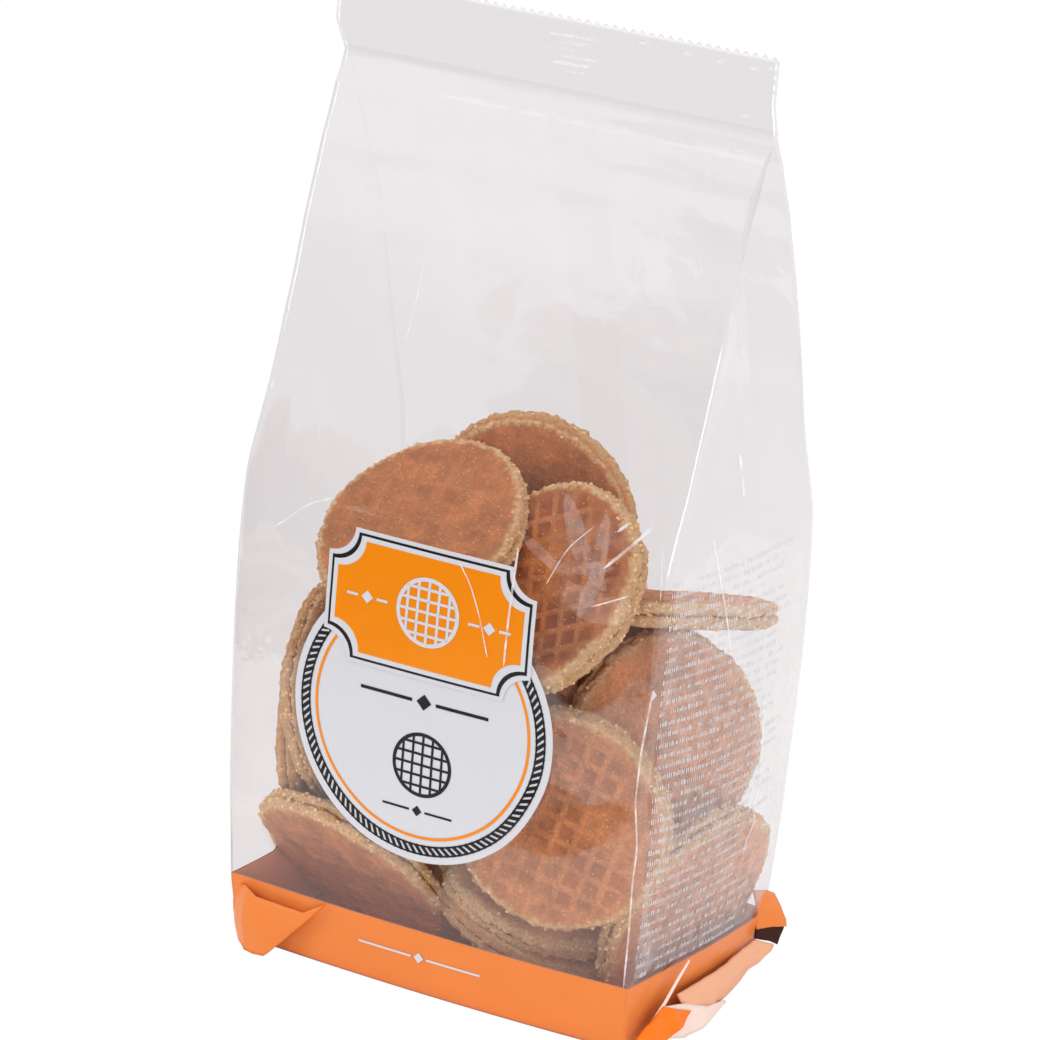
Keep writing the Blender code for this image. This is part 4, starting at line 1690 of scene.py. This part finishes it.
class BAG_OT_creases(bpy.types.Operator):
    """Lays painted highlights on creases, corner ribbon and seal, and the side's painted reflection"""

    bl_idname = "bag.creases"
    bl_label = "Creases"

    def execute(self, context):
        tree = film_tree()
        # Painted highlights and reflections: whitish strips where the film would catch the lamps
        sharp = painted_highlight_material("painted_crease_highlight", 0.8)
        soft = painted_highlight_material("doubled_film_and_painted_sheen", 0.12)
        wear_and_sheen = painted_highlight_material("painted_side_reflection", 0.2)
        laid = (
            ("front_ribbon", FRONT_RIBBON, soft, 0.55, TOWARDS_FRONT),
            ("front_crease_highlights", FRONT_CREASE_HIGHLIGHTS, sharp, 0.65, TOWARDS_FRONT),
            ("side_crease_highlights", SIDE_CREASE_HIGHLIGHTS, sharp, 0.3, TOWARDS_SIDE),
            ("seal_glints", SEAL_GLINTS, sharp, 0.12, TOWARDS_FRONT),
        )
        for name, lines, material, offset, way in laid:
            printed(name, [streak(*line) for line in lines], tree, offset, material, way)
        # Painted reflection: a faint milky veil laid over the side panel
        sheen = filled(even_loop(SIDE_SHEEN, 1.5), 3.0)
        printed("side_sheen", [sheen], tree, 0.08, wear_and_sheen, TOWARDS_SIDE)
        self.corner_lap()
        return {"FINISHED"}

    def corner_lap(self):
        """A narrow slanting strip where the side's film folds over the front's."""
        points = []
        for (x, y, z), width in zip(CORNER_LAP, LAP_WIDTHS):
            half = width / 2
            points += [(x + 0.3, y - half, z + half), (x + 0.35, y + half, z - half)]
        white = bpy.data.materials["white_print_backing"]
        faces = ladder_faces(len(CORNER_LAP) - 1)
        hand_over(mesh_object("corner_lap", points, faces, [white]))


SEAM_COLUMNS, SEAM_ROWS = 9, 240
SEAM_WIDTH = 11.0
SEAM_START, SEAM_END = 3.0, SEAL_FOOT - 2.0
SEAM_RIB, SEAM_RIB_PITCH = 0.12, 1.8


class BAG_OT_seam(bpy.types.Operator):
    """Lays the long fin seal down the middle of the back"""

    bl_idname = "bag.back_seam"
    bl_label = "Back seam"

    def execute(self, context):
        # Two layers of the film, heat-sealed: as clear, but a little less smooth
        material, tree = new_material("heat_sealed_polypropylene")
        tint = linear("#FFFEFE")
        shader = film_shader(tree, tint, shine=0.012, bump_mm=0.1, roughness=0.16, haze=0.003)
        finish_material(tree, shader)
        spots = []
        for r in range(SEAM_ROWS + 1):
            z = SEAM_START + (SEAM_END - SEAM_START) * r / SEAM_ROWS
            sway = 0.4 * noise.noise(Vector((0, z * 0.05, 7)))
            for c in range(SEAM_COLUMNS + 1):
                spots.append((SEAM_WIDTH * (c / SEAM_COLUMNS - 0.5) + sway, 0.0, z))
        laid = onto_film(film_tree(), spots, CAST_START, TOWARDS_BACK, 0.35)
        wide = SEAM_COLUMNS + 1
        for number, spot in enumerate(laid):
            c = number % wide
            stands_off = 0.5 + 0.4 * noise.noise(Vector((3, spot.z * 0.06, 0)))
            rib = SEAM_RIB * math.sin(2 * math.pi * spot.z / SEAM_RIB_PITCH)
            spot.y += c / SEAM_COLUMNS * stands_off + (rib if 1 < c < SEAM_COLUMNS - 1 else 0.0)
        faces = []
        for r in range(SEAM_ROWS):
            for c in range(SEAM_COLUMNS):
                low, high = r * wide + c, (r + 1) * wide + c
                faces.append([low, high, high + 1, low + 1])
        hand_over(mesh_object("back_seam", laid, faces, [material]))
        return {"FINISHED"}


# Stage

CAMERA_AZIMUTH = 28.043
CAMERA_ELEVATION = 17.81
CAMERA_ROLL = 4.602
CAMERA_DISTANCE = 1058.475
CAMERA_SHIFT = (-0.01094, -0.04272)
AIM_HEIGHT = 110.0
SENSOR_MM = 36.0
FLOOR_RADIUS = 238.0
FLOOR_CORNERS = 96
FLOOR_LEVEL = -0.2
# Name, place and size in metres, and share of the main lamp's power
LAMP_AIM = (0, 0, 0.08)
LAMPS = (
    ("softbox_over", (-0.25, -0.35, 1.1), (0.9, 0.9), 1.0),
    ("softbox_left", (-1.15, -0.75, 0.5), (0.45, 0.5), 2.3),
    ("softbox_right", (0.95, -1.15, 0.16), (0.7, 0.6), 3.2),
)


def area_lamp(name, place, size, power):
    """A soft oblong lamp that points at the bag."""
    light = bpy.data.lights.new(name, "AREA")
    light.shape = "RECTANGLE"
    light.size, light.size_y = size
    light.energy = power
    made = add_object(name, light)
    made.location = place
    way = Vector(LAMP_AIM) - Vector(place)
    made.rotation_euler = way.to_track_quat("-Z", "Y").to_euler()


def studio_world(context):
    """White for the camera; for reflections a bright ceiling and a dimmer band at eye level."""
    world = bpy.data.worlds.new("studio")
    context.scene.world = world
    world.use_nodes = True
    tree = world.node_tree
    tree.nodes.clear()
    way = add_node(tree, "ShaderNodeTexCoord").outputs["Generated"]
    height = add_node(tree, "ShaderNodeSeparateXYZ", {0: way}).outputs["Z"]
    front = {0: way, 1: (-0.45, -0.89, 0.0)}
    ahead = add_node(tree, "ShaderNodeVectorMath", front, operation="DOT_PRODUCT").outputs["Value"]
    both = {
        0: add_node(tree, "ShaderNodeMapRange", {0: height, 1: 0.22, 2: 0.44, 3: 1.0, 4: 0.0}),
        1: add_node(tree, "ShaderNodeMapRange", {0: ahead, 1: 0.3, 2: 0.7, 3: 0.0, 4: 1.0}),
    }
    dim = add_node(tree, "ShaderNodeMath", both, operation="MULTIPLY")
    room = {0: dim, 6: (1.0, 1.0, 1.0, 1), 7: (0.16, 0.16, 0.165, 1)}
    around = add_node(tree, "ShaderNodeMix", room, data_type="RGBA")
    from_camera = add_node(tree, "ShaderNodeLightPath").outputs["Is Camera Ray"]
    seen = {0: from_camera, 6: around, 7: (1, 1, 1, 1)}
    colour = add_node(tree, "ShaderNodeMix", seen, data_type="RGBA")
    back = add_node(tree, "ShaderNodeBackground", {"Color": colour, "Strength": 1.0})
    add_node(tree, "ShaderNodeOutputWorld", {"Surface": back})


class StageSettings(bpy.types.PropertyGroup):
    """The camera's lens and the lamp's strength."""

    lens: FloatProperty(
        name="Lens", description="The camera's focal length in millimetres", default=173.24
    )
    lamp: FloatProperty(
        name="Lamp", description="The main lamp's power", default=1.9, unit="POWER"
    )


class BAG_OT_stage(bpy.types.Operator):
    """Sets the camera, the pale floor and the soft studio light"""

    bl_idname = "bag.stage"
    bl_label = "Stage"

    def execute(self, context):
        settings = context.scene.bag_stage
        back = Vector(facing(CAMERA_AZIMUTH, CAMERA_ELEVATION)[:, 2])
        lens = bpy.data.cameras.new("camera")
        lens.lens = settings.lens
        lens.sensor_width = SENSOR_MM
        lens.shift_x, lens.shift_y = CAMERA_SHIFT
        lens.clip_start, lens.clip_end = 0.05, 50.0
        camera = add_object("camera", lens)
        camera.location = Vector((0, 0, AIM_HEIGHT * MM)) + back * CAMERA_DISTANCE * MM
        aim = (-back).to_track_quat("-Z", "Y").to_matrix()
        roll = Matrix.Rotation(math.radians(CAMERA_ROLL), 3, "Z")
        camera.rotation_euler = (aim @ roll).to_euler()
        context.scene.camera = camera
        rim = [(x, y, FLOOR_LEVEL) for x, y in circle_loop((0, 0), FLOOR_RADIUS, FLOOR_CORNERS)]
        floor = mesh_object("floor", rim, [list(range(FLOOR_CORNERS))], [floor_material()])
        floor.visible_camera = False
        for name, place, size, share in LAMPS:
            area_lamp(name, place, size, settings.lamp * share)
        studio_world(context)
        context.scene.view_settings.view_transform = "Standard"
        return {"FINISHED"}


def floor_material():
    """White paper sweep: matt, with the faintest unevenness."""
    material, tree = new_material("white_paper_sweep")
    cloud = {0: mottle(tree, 60.0), 6: linear("#F6F6F6"), 7: linear("#FAFAFA")}
    paper = {"Base Color": add_node(tree, "ShaderNodeMix", cloud, data_type="RGBA"), "Roughness": 0.9}
    finish_material(tree, add_node(tree, "ShaderNodeBsdfPrincipled", paper))
    return material


class BAG_PT_sidebar(bpy.types.Panel):
    """Lists the bag's settings and the steps that build it"""

    bl_idname = "BAG_PT_sidebar"
    bl_label = "Wafer Bag"
    bl_space_type = "VIEW_3D"
    bl_region_type = "UI"
    bl_category = "Wafer Bag"

    def draw(self, context):
        for name, group in SETTINGS.items():
            box = self.layout.box()
            for key in group.__annotations__:
                box.prop(getattr(context.scene, name), key)
        for step in STEPS:
            self.layout.operator(step.bl_idname)


SETTINGS = {
    "bag_stage": StageSettings,
    "bag_wafers": WaferSettings,
    "bag_film": FilmSettings,
    "bag_print": PrintSettings,
}
STEPS = (
    BAG_OT_stage, BAG_OT_wafers, BAG_OT_film, BAG_OT_folds, BAG_OT_seam, BAG_OT_print, BAG_OT_creases,
)


def register():
    for group in (*SETTINGS.values(), *STEPS, BAG_PT_sidebar):
        bpy.utils.register_class(group)
    for name, group in SETTINGS.items():
        setattr(bpy.types.Scene, name, PointerProperty(type=group))


def unregister():
    for name in SETTINGS:
        delattr(bpy.types.Scene, name)
    for group in (BAG_PT_sidebar, *reversed(STEPS), *reversed(SETTINGS.values())):
        bpy.utils.unregister_class(group)


def main():
    register()
    for step in STEPS:
        area, _, name = step.bl_idname.partition(".")
        getattr(getattr(bpy.ops, area), name)()


if __name__ == "__main__":
    main()
